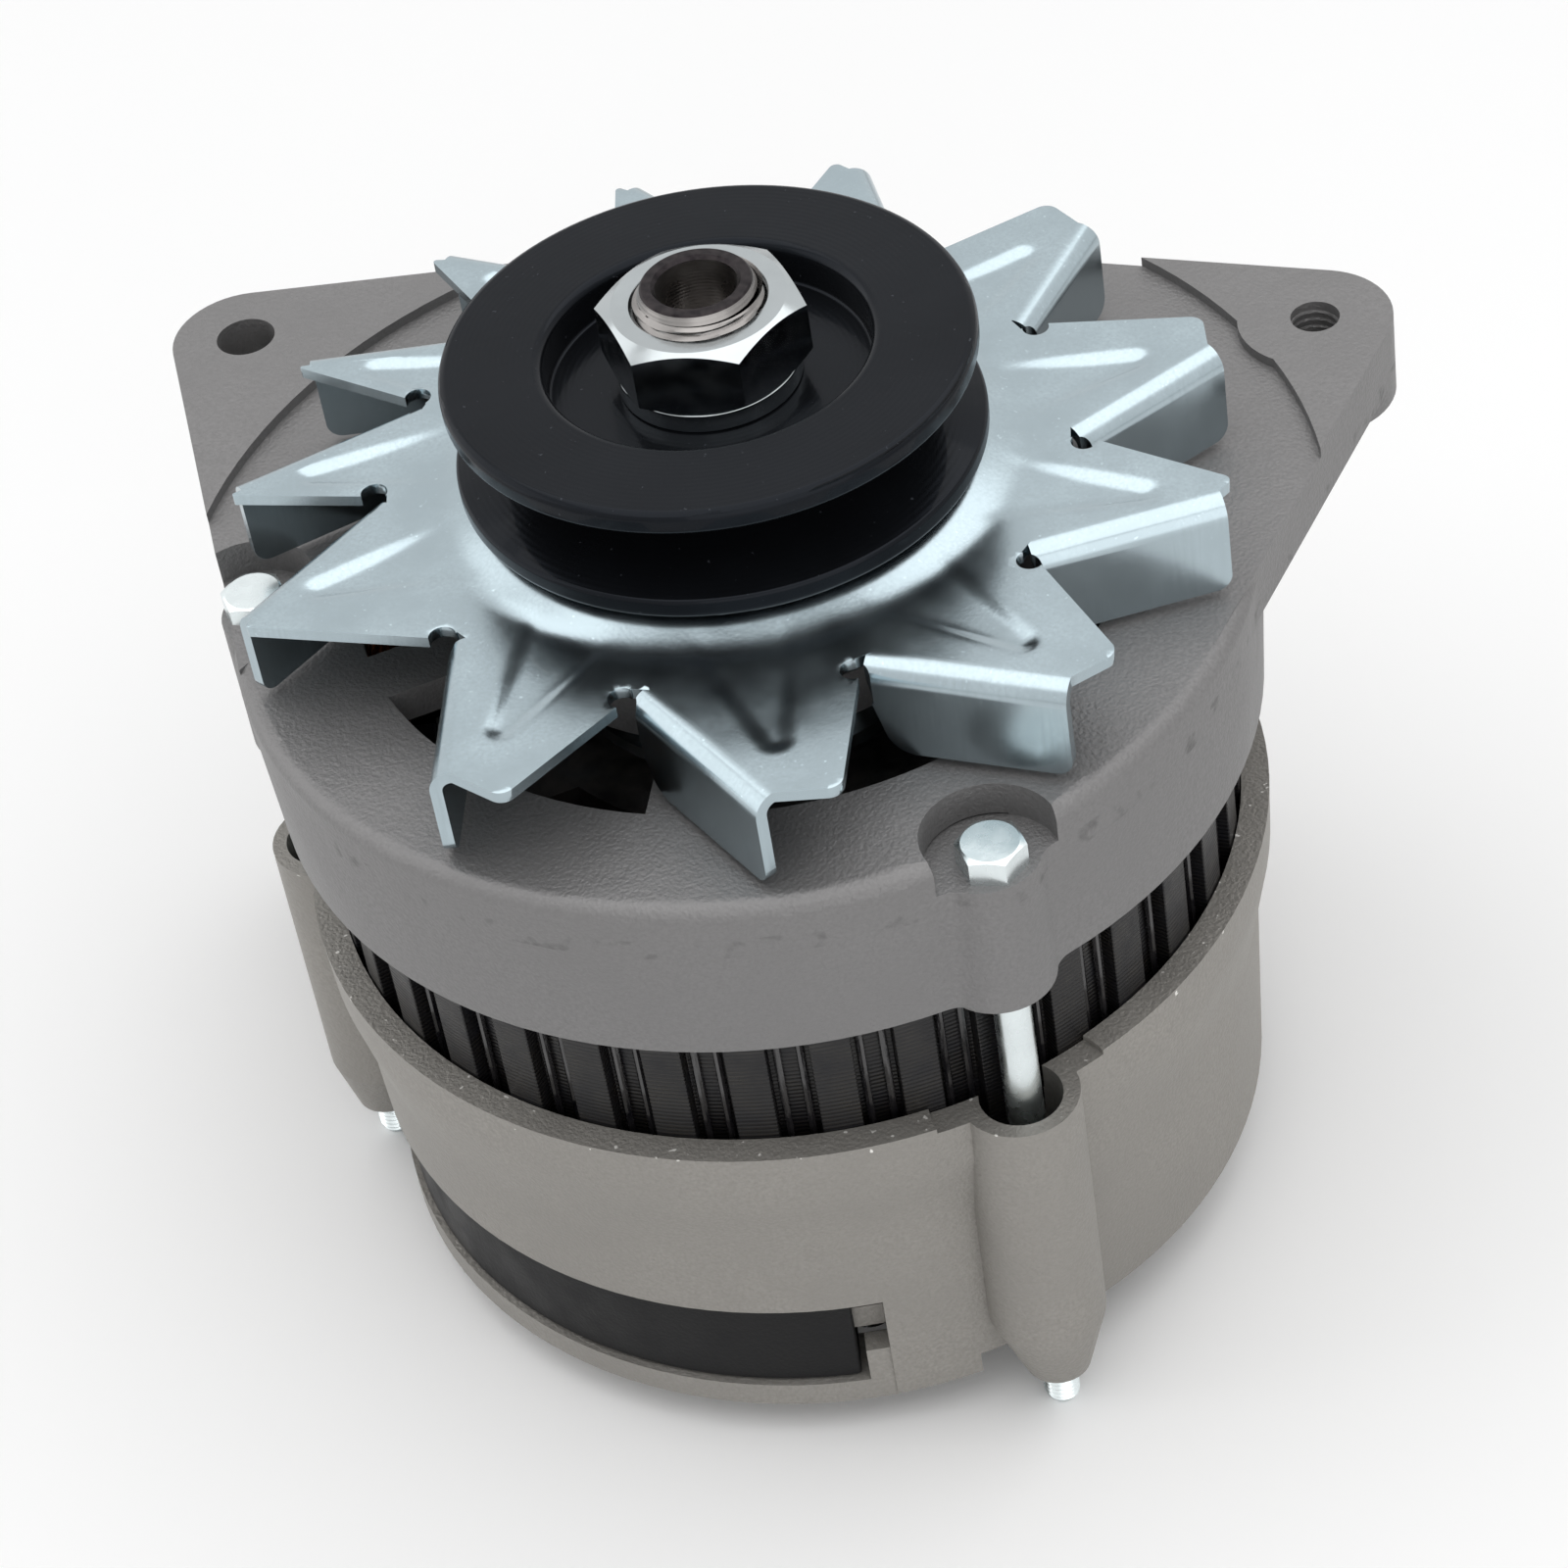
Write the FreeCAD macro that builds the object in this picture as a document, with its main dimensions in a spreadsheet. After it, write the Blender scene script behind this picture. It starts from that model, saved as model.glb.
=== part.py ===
import FreeCAD, Part
import math
import os
import re

import Sketcher

# A belt-driven generator for an engine: two light-alloy brackets clamp a
# laminated stator between them, and a claw-pole rotor turns inside.
# All lengths are millimetres and all angles are degrees.
# The origin is on the shaft axis at the middle of the belt groove, +Z points
# out through the pulley, and the pivot holes lie on the -X side.

SIZES = [
    # Pulley, with the belt line at height zero
    ("pulley_diameter", 70.0, "outside of the pulley rims"),
    ("pulley_width", 17.0, "over both rims"),
    ("groove_mouth", 11.0, "width of the belt groove at the rims"),
    ("groove_depth", 12.0, "from the rims to the groove root"),
    ("groove_root", 3.0, "width of the flat at the groove root"),
    ("recess_radius", 21.3, "front recess round the nut"),
    ("recess_depth", 5.5, "front recess round the nut"),
    ("rim_chamfer", 0.7, "edges of the rims"),
    # Shaft and what is clamped on its drive end
    ("shaft_diameter", 17.0, "pulley, fan and bearing seat"),
    ("slide_fit", 0.02, "clearance on the radius of what slides on the shaft"),
    ("thread_proud", 2.6, "shaft thread that stands out of the nut"),
    ("socket_diameter", 10.7, "blind hole in the shaft end"),
    ("socket_depth", 13.0, "blind hole in the shaft end"),
    ("nut_flats", 24.0, "across the flats of the shaft nut"),
    ("nut_height", 9.6, "shaft nut"),
    ("nut_bevel", 30.0, "angle of the bevel on the nut's corners"),
    ("nut_land", 0.4, "bevel inside the flats"),
    ("thread_bevel", 1.3, "end of the shaft thread"),
    ("shaft_step", 2.0, "shoulder in front of the rear bearing"),
    ("washer_diameter", 24.0, "spring washer"),
    ("washer_thickness", 2.8, "spring washer"),
    ("washer_gap", 1.2, "split in the spring washer"),
    ("key_width", 4.0, "half-round key"),
    ("key_diameter", 12.6, "half-round key"),
    ("key_proud", 1.6, "key above the shaft"),
    ("key_clearance", 0.05, "key in its slots"),
    ("collar_diameter", 27.0, "collar between the fan and the bearing"),
    # Fan, folded from one sheet
    ("fan_diameter", 134.0, "over the blade tips"),
    ("fan_sheet", 1.6, "sheet thickness"),
    ("fan_hub_radius", 35.0, "flat that the pulley clamps"),
    ("fan_cone_radius", 41.0, "foot of the dished cone"),
    ("fan_dish", 2.5, "height of the dish"),
    ("fan_fold_radius", 47.0, "where each fold starts"),
    ("fan_vane_depth", 13.8, "from the sheet's face to a vane's lower edge"),
    ("fan_vane_slant", 3.0, "how far a vane's inner edge runs outwards"),
    ("fan_vane_corner", 2.2, "rounded outer corner of a vane"),
    ("fan_vane_heel", 4.0, "rounded inner corner of a vane"),
    ("fan_blade_corner", 2.0, "rounded plain corner of a blade"),
    ("fan_bend", 1.4, "inside radius of each fold"),
    ("fan_relief", 1.8, "radius of the hole at each fold's root"),
    ("fan_rib_height", 1.1, "pressed rib on each blade"),
    ("fan_rib_width", 7.5, "half of a rib's foot"),
    ("fan_rib_reach", 58.5, "radius where a rib ends"),
    ("fan_rib_end", 3.0, "length of a rib's sloping end"),
    ("fan_rib_ridge", 0.3, "where a rib's ridge starts, as a share of its foot"),
    ("fan_rib_turn", 1.0, "angle of a rib's tip towards its fold"),
    ("fan_blade_least", 0.5, "least angle of a blade beside its fold"),
    # Drive-end bracket
    ("belt_to_bracket", 26.0, "belt line to the bracket's face"),
    ("bracket_over", 5.7, "drive-end bracket outside the core, at its face"),
    ("bracket_draft", 1.2, "how much the skirt narrows downwards"),
    ("bracket_face", 5.0, "thickness of the face"),
    ("bracket_skirt", 26.0, "height of the skirt"),
    ("bracket_edge", 2.2, "rounded edge of the face"),
    ("window_radius", 51.9, "outer edge of the air openings"),
    ("hub_radius", 33.0, "bearing housing"),
    ("hub_raise", 2.0, "bearing housing above the face"),
    ("spoke_width", 9.0, "arms between the openings"),
    ("spoke_depth", 8.0, "arms between the openings"),
    ("lip_thickness", 3.0, "lip above the bearing"),
    ("lip_radius", 17.0, "hole in that lip"),
    ("pad_height", 1.5, "raised pads on the ears"),
    ("pivot_pad_radius", 76.0, "inner edge of the pivot ear's pad"),
    ("adjust_pad_radius", 78.0, "inner edge of the adjusting ear's pad"),
    ("pivot_flank_inset", 0.6, "start of the pivot ear's flanks inside the bracket"),
    ("adjust_flank_inset", 1.8, "start of the adjusting ear's flanks inside the bracket"),
    ("core_ledge", 2.5, "ledge that the core rests on"),
    ("spoke_root", 3.0, "how far the arms run into the skirt"),
    ("ear_radius", 10.7, "rounded ends of the ears"),
    ("ear_web", 8.0, "thickness of the webs that carry the ears"),
    ("pivot_reach", 92.0, "shaft axis to the pivot hole"),
    ("pivot_bore", 8.5, "pivot hole"),
    ("pivot_thickness", 15.0, "drive-end pivot ear"),
    ("adjust_reach", 87.2, "shaft axis to the adjusting hole"),
    ("adjust_angle", 62.4, "direction of the adjusting hole"),
    ("adjust_bore", 6.8, "tapping size of the adjusting hole"),
    ("adjust_thickness", 12.5, "adjusting ear"),
    # Through bolts
    ("bolt_over", 3.7, "axis of the bolts outside the core"),
    ("bolt_angle", -24.3, "direction of the first bolt"),
    ("bolt_diameter", 5.0, "shank"),
    ("bolt_flats", 8.0, "head across flats"),
    ("bolt_head", 3.8, "head height"),
    ("bolt_seat", 5.3, "depth of the head recess"),
    ("bolt_recess", 8.8, "radius of the head recess"),
    ("bolt_fit", 0.25, "clearance round a shank"),
    ("bolt_boss", 7.6, "radius of the drive-end bosses"),
    ("boss_inset", 2.6, "middle of those bosses inside the bolts"),
    ("boss_blend", 4.0, "hollow between those bosses and the skirt"),
    ("boss_drop", 0.5, "drive-end bosses below the skirt"),
    ("seat_floor", 3.0, "casting under the head recesses"),
    ("seat_sweep", 20.0, "angle of the casting under the head recesses"),
    ("bolt_end", 134.0, "belt line to the bolt tips"),
    # Stator
    ("core_radius", 63.5, "laminated core"),
    ("core_length", 34.0, "laminated core"),
    ("core_bite", 3.0, "core inside the drive-end skirt"),
    ("core_fit", 0.05, "clearance round the core"),
    ("air_gap", 0.45, "between claws and core"),
    ("slot_width", 3.2, "winding slots"),
    ("core_back", 5.45, "core behind the winding slots"),
    ("rib_gap", 5.6, "channels on the outside of the core"),
    ("rib_depth", 2.4, "channels on the outside of the core"),
    ("winding_height", 12.5, "overhang of the windings"),
    ("winding_shy", 1.95, "overhang outside the core's bore"),
    ("winding_inset", 3.7, "overhang inside the core's outer face"),
    ("winding_fit", 0.3, "bars inside the slots"),
    ("winding_stand", 0.3, "overhang clear of the core's end"),
    # Rotor
    ("rotor_radius", 45.1, "over the claws"),
    ("pole_thickness", 11.0, "disc of each pole"),
    ("pole_inset", 12.1, "disc of each pole inside the claws' outer face"),
    ("coil_length", 20.0, "between the two discs"),
    ("coil_inset", 2.0, "field coil inside the discs"),
    ("bobbin_inset", 1.0, "flanges of the bobbin inside the discs"),
    ("bobbin_wall", 1.2, "wall of the bobbin"),
    ("bobbin_fit", 0.1, "clearance round the bobbin"),
    ("yoke_radius", 20.0, "core inside the bobbin"),
    ("claw_root", 23.0, "width of a claw at its root"),
    ("claw_tip", 10.0, "width of a claw at its tip"),
    ("claw_thickness", 11.0, "at the root"),
    ("claw_tip_thickness", 4.0, "at the tip"),
    ("claw_heel", 6.0, "how much deeper a claw starts at the disc"),
    ("claw_reach", 28.8, "disc's inner face to a claw's tip"),
    ("rotor_shaft_diameter", 20.0, "shaft inside the poles"),
    ("thrust_collar", 5.0, "collar between the bearing and the pole"),
    ("thrust_diameter", 25.0, "collar between the bearing and the pole"),
    # Bearings
    ("front_bearing_outer", 47.0, "drive-end bearing"),
    ("front_bearing_width", 14.0, "drive-end bearing"),
    ("front_ball", 8.7, "drive-end bearing balls"),
    ("rear_bearing_outer", 32.0, "slip-ring-end bearing"),
    ("rear_bearing_bore", 12.0, "slip-ring-end bearing"),
    ("rear_bearing_width", 10.0, "slip-ring-end bearing"),
    ("rear_ball", 5.9, "slip-ring-end bearing balls"),
    ("ball_count", 8, "balls in each bearing"),
    ("ball_clearance", 0.04, "balls in their tracks"),
    ("bearing_fit", 0.01, "clearance of a ring in its housing"),
    ("retainer_thickness", 2.0, "plate under the drive-end bearing"),
    ("retainer_screw", 4.0, "screws of that plate"),
    ("retainer_circle", 28.2, "circle of those screws"),
    ("retainer_lobe", 4.5, "round lobe under each of those screws"),
    ("retainer_rim", 2.0, "plate inside the circle of its screws"),
    ("retainer_overlap", 3.5, "how far the plate reaches under the bearing"),
    ("retainer_grip", 8.0, "thread of those screws in the bracket"),
    ("head_ratio", 0.9, "radius of a small screw's head for one of its diameter"),
    ("head_height", 1.8, "small screws' heads"),
    ("shoulder_ratio", 0.3, "ball bearing shoulders for one ball diameter"),
    ("cage_ratio", 0.55, "cage's half width for one shoulder"),
    ("cage_height", 0.2, "cage's half height for one ball diameter"),
    ("bearing_step", 1.0, "slip-ring core clear of the rear bearing"),
    # Slip-ring-end bracket
    ("rear_gap", 21.0, "open band between the two brackets"),
    ("rear_over", 4.1, "slip-ring-end bracket outside the core, at its rim"),
    ("rear_draft", 3.8, "how much the wall narrows downwards"),
    ("rear_flare", 8.0, "height of the band round the core"),
    ("rear_flare_draft", 0.3, "how much that band narrows"),
    ("rear_waist", 20.0, "rim to the foot of the slope under that band"),
    ("rear_waist_over", 1.1, "wall at that foot outside its lower edge"),
    ("rear_rim_wall", 3.9, "wall at the rim"),
    ("rear_rim_depth", 5.0, "flared part of the rim"),
    ("rear_wall", 3.6, "wall below the core"),
    ("rear_depth", 50.4, "rim to the lower edge of the wall"),
    ("end_wall", 4.0, "thickness of the end wall"),
    ("end_wall_height", 39.0, "rim to the end wall"),
    ("end_ring_inset", 2.4, "ring at the rear inside the wall"),
    ("end_ring_width", 6.4, "ring at the rear"),
    ("end_ring_height", 2.2, "ring at the rear"),
    ("shelf_inset", 0.3, "shelf under the side opening inside the wall"),
    ("shelf_height", 4.0, "shelf under the side opening"),
    ("shelf_overlap", 1.5, "angle of the shelf that runs under the wall"),
    ("post_sweep", 3.0, "angle of the post beside the shield"),
    ("post_height", 6.0, "that post above the shelf"),
    ("side_window_top", 34.0, "rim to the side opening"),
    ("side_window_start", -44.0, "direction of one end of the side opening"),
    ("side_window_sweep", 88.0, "angle of the side opening"),
    ("foot_sweep", 11.0, "angle of the foot beside the side opening"),
    ("foot_drop", 3.6, "foot below the wall"),
    ("rear_boss_radius", 21.0, "rear bearing housing"),
    ("rear_boss_bore", 11.6, "hole for the slip rings"),
    ("rear_shaft_gap", 10.0, "pole to the rear bearing"),
    ("rear_bolt_boss", 8.1, "radius of the slip-ring-end bosses"),
    ("rear_boss_inset", 1.3, "middle of those bosses inside the bolts"),
    ("boss_tip", 4.6, "radius of the bosses where the bolts come out"),
    ("boss_tip_drop", 3.0, "those bosses below the wall's lower edge"),
    ("boss_tip_rise", 7.0, "start of the bosses' cones above that edge"),
    ("rim_pocket", 5.6, "radius of the pocket in the rim at each bolt"),
    ("pocket_inset", 0.8, "middle of those pockets inside the bolts"),
    ("pocket_depth", 12.0, "pocket in the rim at each bolt"),
    ("rim_land", 12.5, "radius of the lower land round each pocket"),
    ("rim_step", 0.8, "depth of that land"),
    ("foot_width", 3.0, "foot beside the side opening, along the radius"),
    ("inlet_start", 62.0, "direction of the first air inlet"),
    ("inlet_sweep", 36.0, "angle of each air inlet"),
    ("inlet_inner", 25.0, "inside radius of the air inlets"),
    ("inlet_outer", 47.0, "outside radius of the air inlets"),
    ("lug_thickness", 18.0, "rear pivot lug"),
    ("lug_top", 27.0, "rim to the rear pivot lug"),
    ("bush_outer", 12.5, "steel bush in the rear lug"),
    ("bush_length", 20.0, "steel bush in the rear lug"),
    # Rear fittings
    ("cover_wall", 2.2, "moulded rectifier shield"),
    ("cover_gap", 0.3, "round the shield"),
    ("cover_side_gap", 1.0, "angle between the shield and the opening's ends"),
    ("cover_lip", 1.8, "flange along the shield's lower edge"),
    ("rectifier_angle", -100.0, "direction of the middle of the rectifier"),
    ("sink_thickness", 3.0, "rectifier plates"),
    ("sink_inner", 24.5, "rectifier plates"),
    ("sink_gap", 0.7, "rectifier plates inside the wall"),
    ("sink_spacing", 4.5, "between the plates"),
    ("sink_sweep", 124.0, "angle of the plates"),
    ("sink_stand", 3.5, "end wall to the nearer plate"),
    ("sink_screw", 4.0, "screws of the plates"),
    ("sink_screw_inset", 4.0, "screws inside the plates' outer edge"),
    ("spacer_radius", 3.5, "insulating spacers"),
    ("sink_screw_proud", 1.5, "plate screws above the upper plate"),
    ("diode_step", 32.0, "angle between diodes in one plate"),
    ("diode_diameter", 12.7, "press-fit diodes"),
    ("diode_height", 6.5, "press-fit diodes"),
    ("diode_inset", 13.5, "diodes inside the plates' outer edge"),
    ("stud_diameter", 6.0, "free end of the output stud"),
    ("stud_shank", 6.5, "output stud through the plate, the bush and the nut"),
    ("stud_circle", 31.0, "output stud"),
    ("stud_angle", -87.5, "direction of the output stud"),
    ("stud_nut", 10.0, "across the flats of its nuts"),
    ("stud_nut_height", 5.0, "nut of the output stud"),
    ("stud_head", 1.6, "head of the output stud"),
    ("bush_radius", 4.6, "insulating bushes of the terminals"),
    ("bush_brim", 1.6, "brim of those bushes"),
    ("bush_flange", 2.0, "height of the output bush's brim"),
    ("block_height", 4.0, "phase terminal's block outside the end wall"),
    ("block_rise", 1.0, "phase terminal's block inside the end wall"),
    ("blade_gap", 0.3, "phase terminal to the nearer plate"),
    ("blade_short", 1.0, "phase terminal inside the regulator's outer face"),
    ("blade_angle", -142.5, "direction of the phase terminal"),
    ("stud_end", 133.0, "belt line to the stud's end"),
    ("blade_width", 6.3, "push-on terminals"),
    ("blade_thickness", 0.8, "push-on terminals"),
    ("ring_wall", 2.0, "thickness of the slip rings"),
    ("ring_radius", 10.0, "slip rings"),
    ("ring_width", 5.6, "slip rings"),
    ("ring_pitch", 7.2, "between the two slip rings"),
    ("ring_start", 4.0, "end wall to the first slip ring's middle"),
    ("brush_width", 6.4, "brushes, across the shaft"),
    ("brush_height", 4.6, "brushes, along the shaft"),
    ("brush_length", 14.0, "brushes"),
    ("brush_fit", 0.15, "brushes in their guides"),
    ("brush_worn", 1.0, "depth of the round worn into a brush"),
    ("guide_end", 3.0, "closed end of the brush guides"),
    ("spring_wire", 0.3, "radius of the brush springs' wire"),
    ("spring_turns", 5, "turns of the brush springs"),
    ("spring_gap", 0.1, "round the brush springs"),
    ("holder_start", 12.5, "shaft axis to the brush holder"),
    ("holder_length", 24.0, "brush holder"),
    ("holder_width", 18.0, "brush holder"),
    ("holder_height", 16.0, "brush holder and regulator"),
    ("regulator_length", 13.0, "regulator"),
    ("regulator_width", 34.0, "regulator"),
    ("regulator_screw", 4.0, "screws of the regulator"),
    ("regulator_margin", 4.5, "screws of the regulator to its ends"),
    ("regulator_sink", 2.5, "depth of the screw recesses"),
    ("regulator_head", 2.0, "heads of those screws"),
]

# The twelve fan blades, each as the directions of its fold's root, its fold's
# tip and its plain corner. The spacing is uneven so that the fan does not
# whistle on one note, and a few blades end almost in a point.
FAN_BLADES = (
    (5.0, 21.5, 26.0),
    (35.0, 48.5, 56.0),
    (67.0, 78.5, 86.5),
    (95.5, 111.0, 115.5),
    (122.5, 139.0, 142.5),
    (148.5, 164.0, 167.5),
    (171.0, 188.5, 191.0),
    (193.5, 212.5, 215.0),
    (218.5, 236.5, 239.5),
    (259.0, 275.0, 284.5),
    (293.5, 311.5, 320.8),
    (329.5, 347.0, 355.3),
)
CLAWS_PER_POLE = 6
SLOT_COUNT = 36
SPOKE_COUNT = 6
BOLT_COUNT = 3
DIODE_COUNT = 3
RETAINER_SCREWS = 3
INLET_COUNT = 5
INLET_SPAN = 220

doc = FreeCAD.newDocument("alternator")
sheet = doc.addObject("Spreadsheet::Sheet", "Sizes")
NAMES = set()
for row, (name, number, note) in enumerate(SIZES, start=1):
    sheet.set(f"A{row}", name)
    sheet.set(f"B{row}", str(number))
    sheet.set(f"C{row}", note)
    sheet.setAlias(f"B{row}", name)
    NAMES.add(name)
doc.recompute()

UP = FreeCAD.Vector(0, 0, 1)
ORIGIN = FreeCAD.Vector(0, 0, 0)


def value(text):
    """The number that an expression in the sheet's own names gives."""
    return float(sheet.evalExpression(str(text)))


def bound(text):
    """The same expression, with each name pointing into the sheet."""
    def point(match):
        word = match.group(0)
        return f"Sizes.{word}" if word in NAMES else word
    return re.sub(r"[a-z_]+", point, str(text))


def polar(radius, angle, height=0.0):
    turn = math.radians(angle)
    return FreeCAD.Vector(radius * math.cos(turn), radius * math.sin(turn), height)


# Heights along the shaft, each worked out from the sizes above
PULLEY_TOP = "(pulley_width / 2)"
RECESS_FLOOR = f"({PULLEY_TOP} - recess_depth)"
WASHER_TOP = f"({RECESS_FLOOR} + washer_thickness)"
NUT_TOP = f"({WASHER_TOP} + nut_height)"
SHAFT_TOP = f"({NUT_TOP} + thread_proud)"
PULLEY_BOTTOM = "(-pulley_width / 2)"
FAN_UNDER = f"({PULLEY_BOTTOM} - fan_sheet)"
FAN_PLATE = f"({PULLEY_BOTTOM} - fan_dish)"
FACE = "(-belt_to_bracket)"
HUB_TOP = f"({FACE} + hub_raise)"
BEARING_TOP = f"({HUB_TOP} - lip_thickness)"
BEARING_LOW = f"({BEARING_TOP} - front_bearing_width)"
SKIRT_LOW = f"({FACE} - bracket_skirt)"
CORE_TOP = f"({SKIRT_LOW} + core_bite)"
CORE_LOW = f"({CORE_TOP} - core_length)"
POLE_TOP = f"({BEARING_LOW} - thrust_collar)"
COIL_TOP = f"({POLE_TOP} - pole_thickness)"
COIL_LOW = f"({COIL_TOP} - coil_length)"
POLE_LOW = f"({COIL_LOW} - pole_thickness)"
REAR_RIM = f"({SKIRT_LOW} - rear_gap)"
REAR_LOW = f"({REAR_RIM} - rear_depth)"
END_TOP = f"({REAR_RIM} - end_wall_height)"
END_LOW = f"({END_TOP} - end_wall)"
REAR_BEARING_TOP = f"({POLE_LOW} - rear_shaft_gap)"
REAR_BEARING_LOW = f"({REAR_BEARING_TOP} - rear_bearing_width)"
WINDOW_TOP = f"({REAR_RIM} - side_window_top)"
RING_ONE = f"({END_LOW} - ring_start)"
RING_TWO = f"({RING_ONE} - ring_pitch)"
SHAFT_LOW = f"({RING_TWO} - ring_width)"
STATOR_BORE = "(rotor_radius + air_gap)"
BOLT_CIRCLE = "(core_radius + bolt_over)"
BRACKET_RADIUS = "(core_radius + bracket_over)"
REAR_RADIUS = "(core_radius + rear_over)"
REAR_LOW_RADIUS = f"({REAR_RADIUS} - rear_draft)"
REAR_INSIDE = f"({REAR_LOW_RADIUS} - rear_wall)"
END_RING_RADIUS = f"({REAR_LOW_RADIUS} - end_ring_inset)"
END_RING_BORE = f"({END_RING_RADIUS} - end_ring_width)"
WINDING_INNER = f"({STATOR_BORE} + winding_shy)"
WINDING_OUTER = "(core_radius - winding_inset)"
WINDING_BEVEL = f"(({WINDING_OUTER} - {WINDING_INNER}) / 4)"
POLE_DISC = "(rotor_radius - pole_inset)"
COIL_RADIUS = f"({POLE_DISC} - coil_inset)"
BOBBIN_RADIUS = f"({POLE_DISC} - bobbin_inset)"
SINK_OUTER = f"({REAR_INSIDE} - sink_gap)"
SHAFT_RADIUS = "(shaft_diameter / 2)"
SLIDE_RADIUS = f"({SHAFT_RADIUS} + slide_fit)"


class Piece:
    """One body, built feature by feature from sketches on its own planes."""

    def __init__(self, label):
        self.body = doc.addObject("PartDesign::Body", label)
        self.body.Label = label
        self.count = 0

    def plane(self, role):
        return next(item for item in self.body.Origin.OriginFeatures if item.Role == role)

    def sketch(self, role="XY_Plane", height="0"):
        self.count += 1
        sketch = self.body.newObject("Sketcher::SketchObject", f"{self.body.Name}_sketch_{self.count}")
        sketch.AttachmentSupport = (self.plane(role), [""])
        sketch.MapMode = "FlatFace"
        sketch.setExpression("AttachmentOffset.Base.z", bound(height))
        return sketch

    def feature(self, kind, sketch):
        self.count += 1
        feature = self.body.newObject(f"PartDesign::{kind}", f"{self.body.Name}_{kind}_{self.count}")
        feature.Profile = sketch
        return feature

    def turn(self, points, kind="Revolution"):
        """A closed profile of (radius, height) turned round the shaft axis."""
        sketch = self.sketch("XZ_Plane")
        bound_outline(sketch, points)
        feature = self.feature(kind, sketch)
        feature.ReferenceAxis = (sketch, ["V_Axis"])
        feature.Angle = 360
        return feature

    def turn_cut(self, points):
        return self.turn(points, "Groove")

    def pad(self, draw, bottom, height):
        """What draw puts in a sketch at the height bottom, raised by height."""
        sketch = self.sketch("XY_Plane", bottom)
        draw(sketch)
        feature = self.feature("Pad", sketch)
        feature.setExpression("Length", bound(height))
        return feature

    def cut(self, draw, top, depth):
        """What draw puts in a sketch at the height top, cut down by depth."""
        sketch = self.sketch("XY_Plane", top)
        draw(sketch)
        feature = self.feature("Pocket", sketch)
        feature.setExpression("Length", bound(depth))
        return feature

    def loft(self, sections):
        """A solid between two outlines, each with the height it is drawn at."""
        sketches = []
        for draw, height in sections:
            sketch = self.sketch("XY_Plane", height)
            draw(sketch)
            sketches.append(sketch)
        self.count += 1
        loft = self.body.newObject("PartDesign::AdditiveLoft", f"{self.body.Name}_loft_{self.count}")
        loft.Profile = sketches[0]
        loft.Sections = sketches[1:]
        loft.Ruled = True
        return loft

    def around(self, features, count, sweep=360):
        """Repeats features round the shaft axis."""
        self.count += 1
        pattern = self.body.newObject("PartDesign::PolarPattern", f"{self.body.Name}_pattern_{self.count}")
        pattern.Originals = features
        pattern.Axis = (self.plane("Z_Axis"), [""])
        pattern.Angle = sweep
        pattern.Occurrences = count
        self.body.Tip = pattern
        return pattern

    def edge_break(self, kind, size, wanted):
        """Rounds or bevels every edge that wanted picks."""
        doc.recompute()
        base = self.body.Tip
        edges = [f"Edge{number}" for number, edge in enumerate(base.Shape.Edges, start=1) if wanted(edge)]
        if not edges:
            return None
        self.count += 1
        feature = self.body.newObject(f"PartDesign::{kind}", f"{self.body.Name}_{kind}_{self.count}")
        feature.Base = (base, edges)
        feature.setExpression("Radius" if kind == "Fillet" else "Size", bound(size))
        return feature


def bound_outline(sketch, points):
    """A closed run of straight lines whose corners follow the sheet."""
    places = [FreeCAD.Vector(value(first), value(second), 0) for first, second in points]
    total = len(points)
    for index in range(total):
        sketch.addGeometry(Part.LineSegment(places[index], places[(index + 1) % total]))
    for index in range(total):
        sketch.addConstraint(Sketcher.Constraint("Coincident", index, 2, (index + 1) % total, 1))
    for index, (first, second) in enumerate(points):
        for kind, text in (("DistanceX", first), ("DistanceY", second)):
            number = sketch.addConstraint(Sketcher.Constraint(kind, -1, 1, index, 1, value(text)))
            sketch.setExpression(f"Constraints[{number}]", bound(text))


def circles(places, radius):
    """Draws circles of one bound radius at (x, y) expressions."""
    def draw(sketch):
        for across, along in places:
            centre = FreeCAD.Vector(value(across), value(along), 0)
            index = sketch.addGeometry(Part.Circle(centre, UP, value(radius)))
            number = sketch.addConstraint(Sketcher.Constraint("Radius", index, value(radius)))
            sketch.setExpression(f"Constraints[{number}]", bound(radius))
            for kind, text in (("DistanceX", across), ("DistanceY", along)):
                number = sketch.addConstraint(Sketcher.Constraint(kind, -1, 1, index, 3, value(text)))
                sketch.setExpression(f"Constraints[{number}]", bound(text))
    return draw


def polygon(points):
    def draw(sketch):
        bound_outline(sketch, points)
    return draw


def box_outline(left, right, low, high):
    return polygon([(left, low), (right, low), (right, high), (left, high)])


def arc_between(centre, radius, start, sweep):
    circle = Part.Circle(centre, UP, radius)
    return Part.ArcOfCircle(circle, math.radians(start), math.radians(start + sweep))


def sector(inner, outer, start, sweep):
    """A ring sector, with its corners on the two radii."""
    def draw(sketch):
        small, large = value(inner), value(outer)
        first, turn = value(start), value(sweep)
        last = first + turn
        sketch.addGeometry(arc_between(ORIGIN, large, first, turn))
        sketch.addGeometry(Part.LineSegment(polar(large, last), polar(small, last)))
        sketch.addGeometry(arc_between(ORIGIN, small, first, turn))
        sketch.addGeometry(Part.LineSegment(polar(small, first), polar(large, first)))
    return draw


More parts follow.
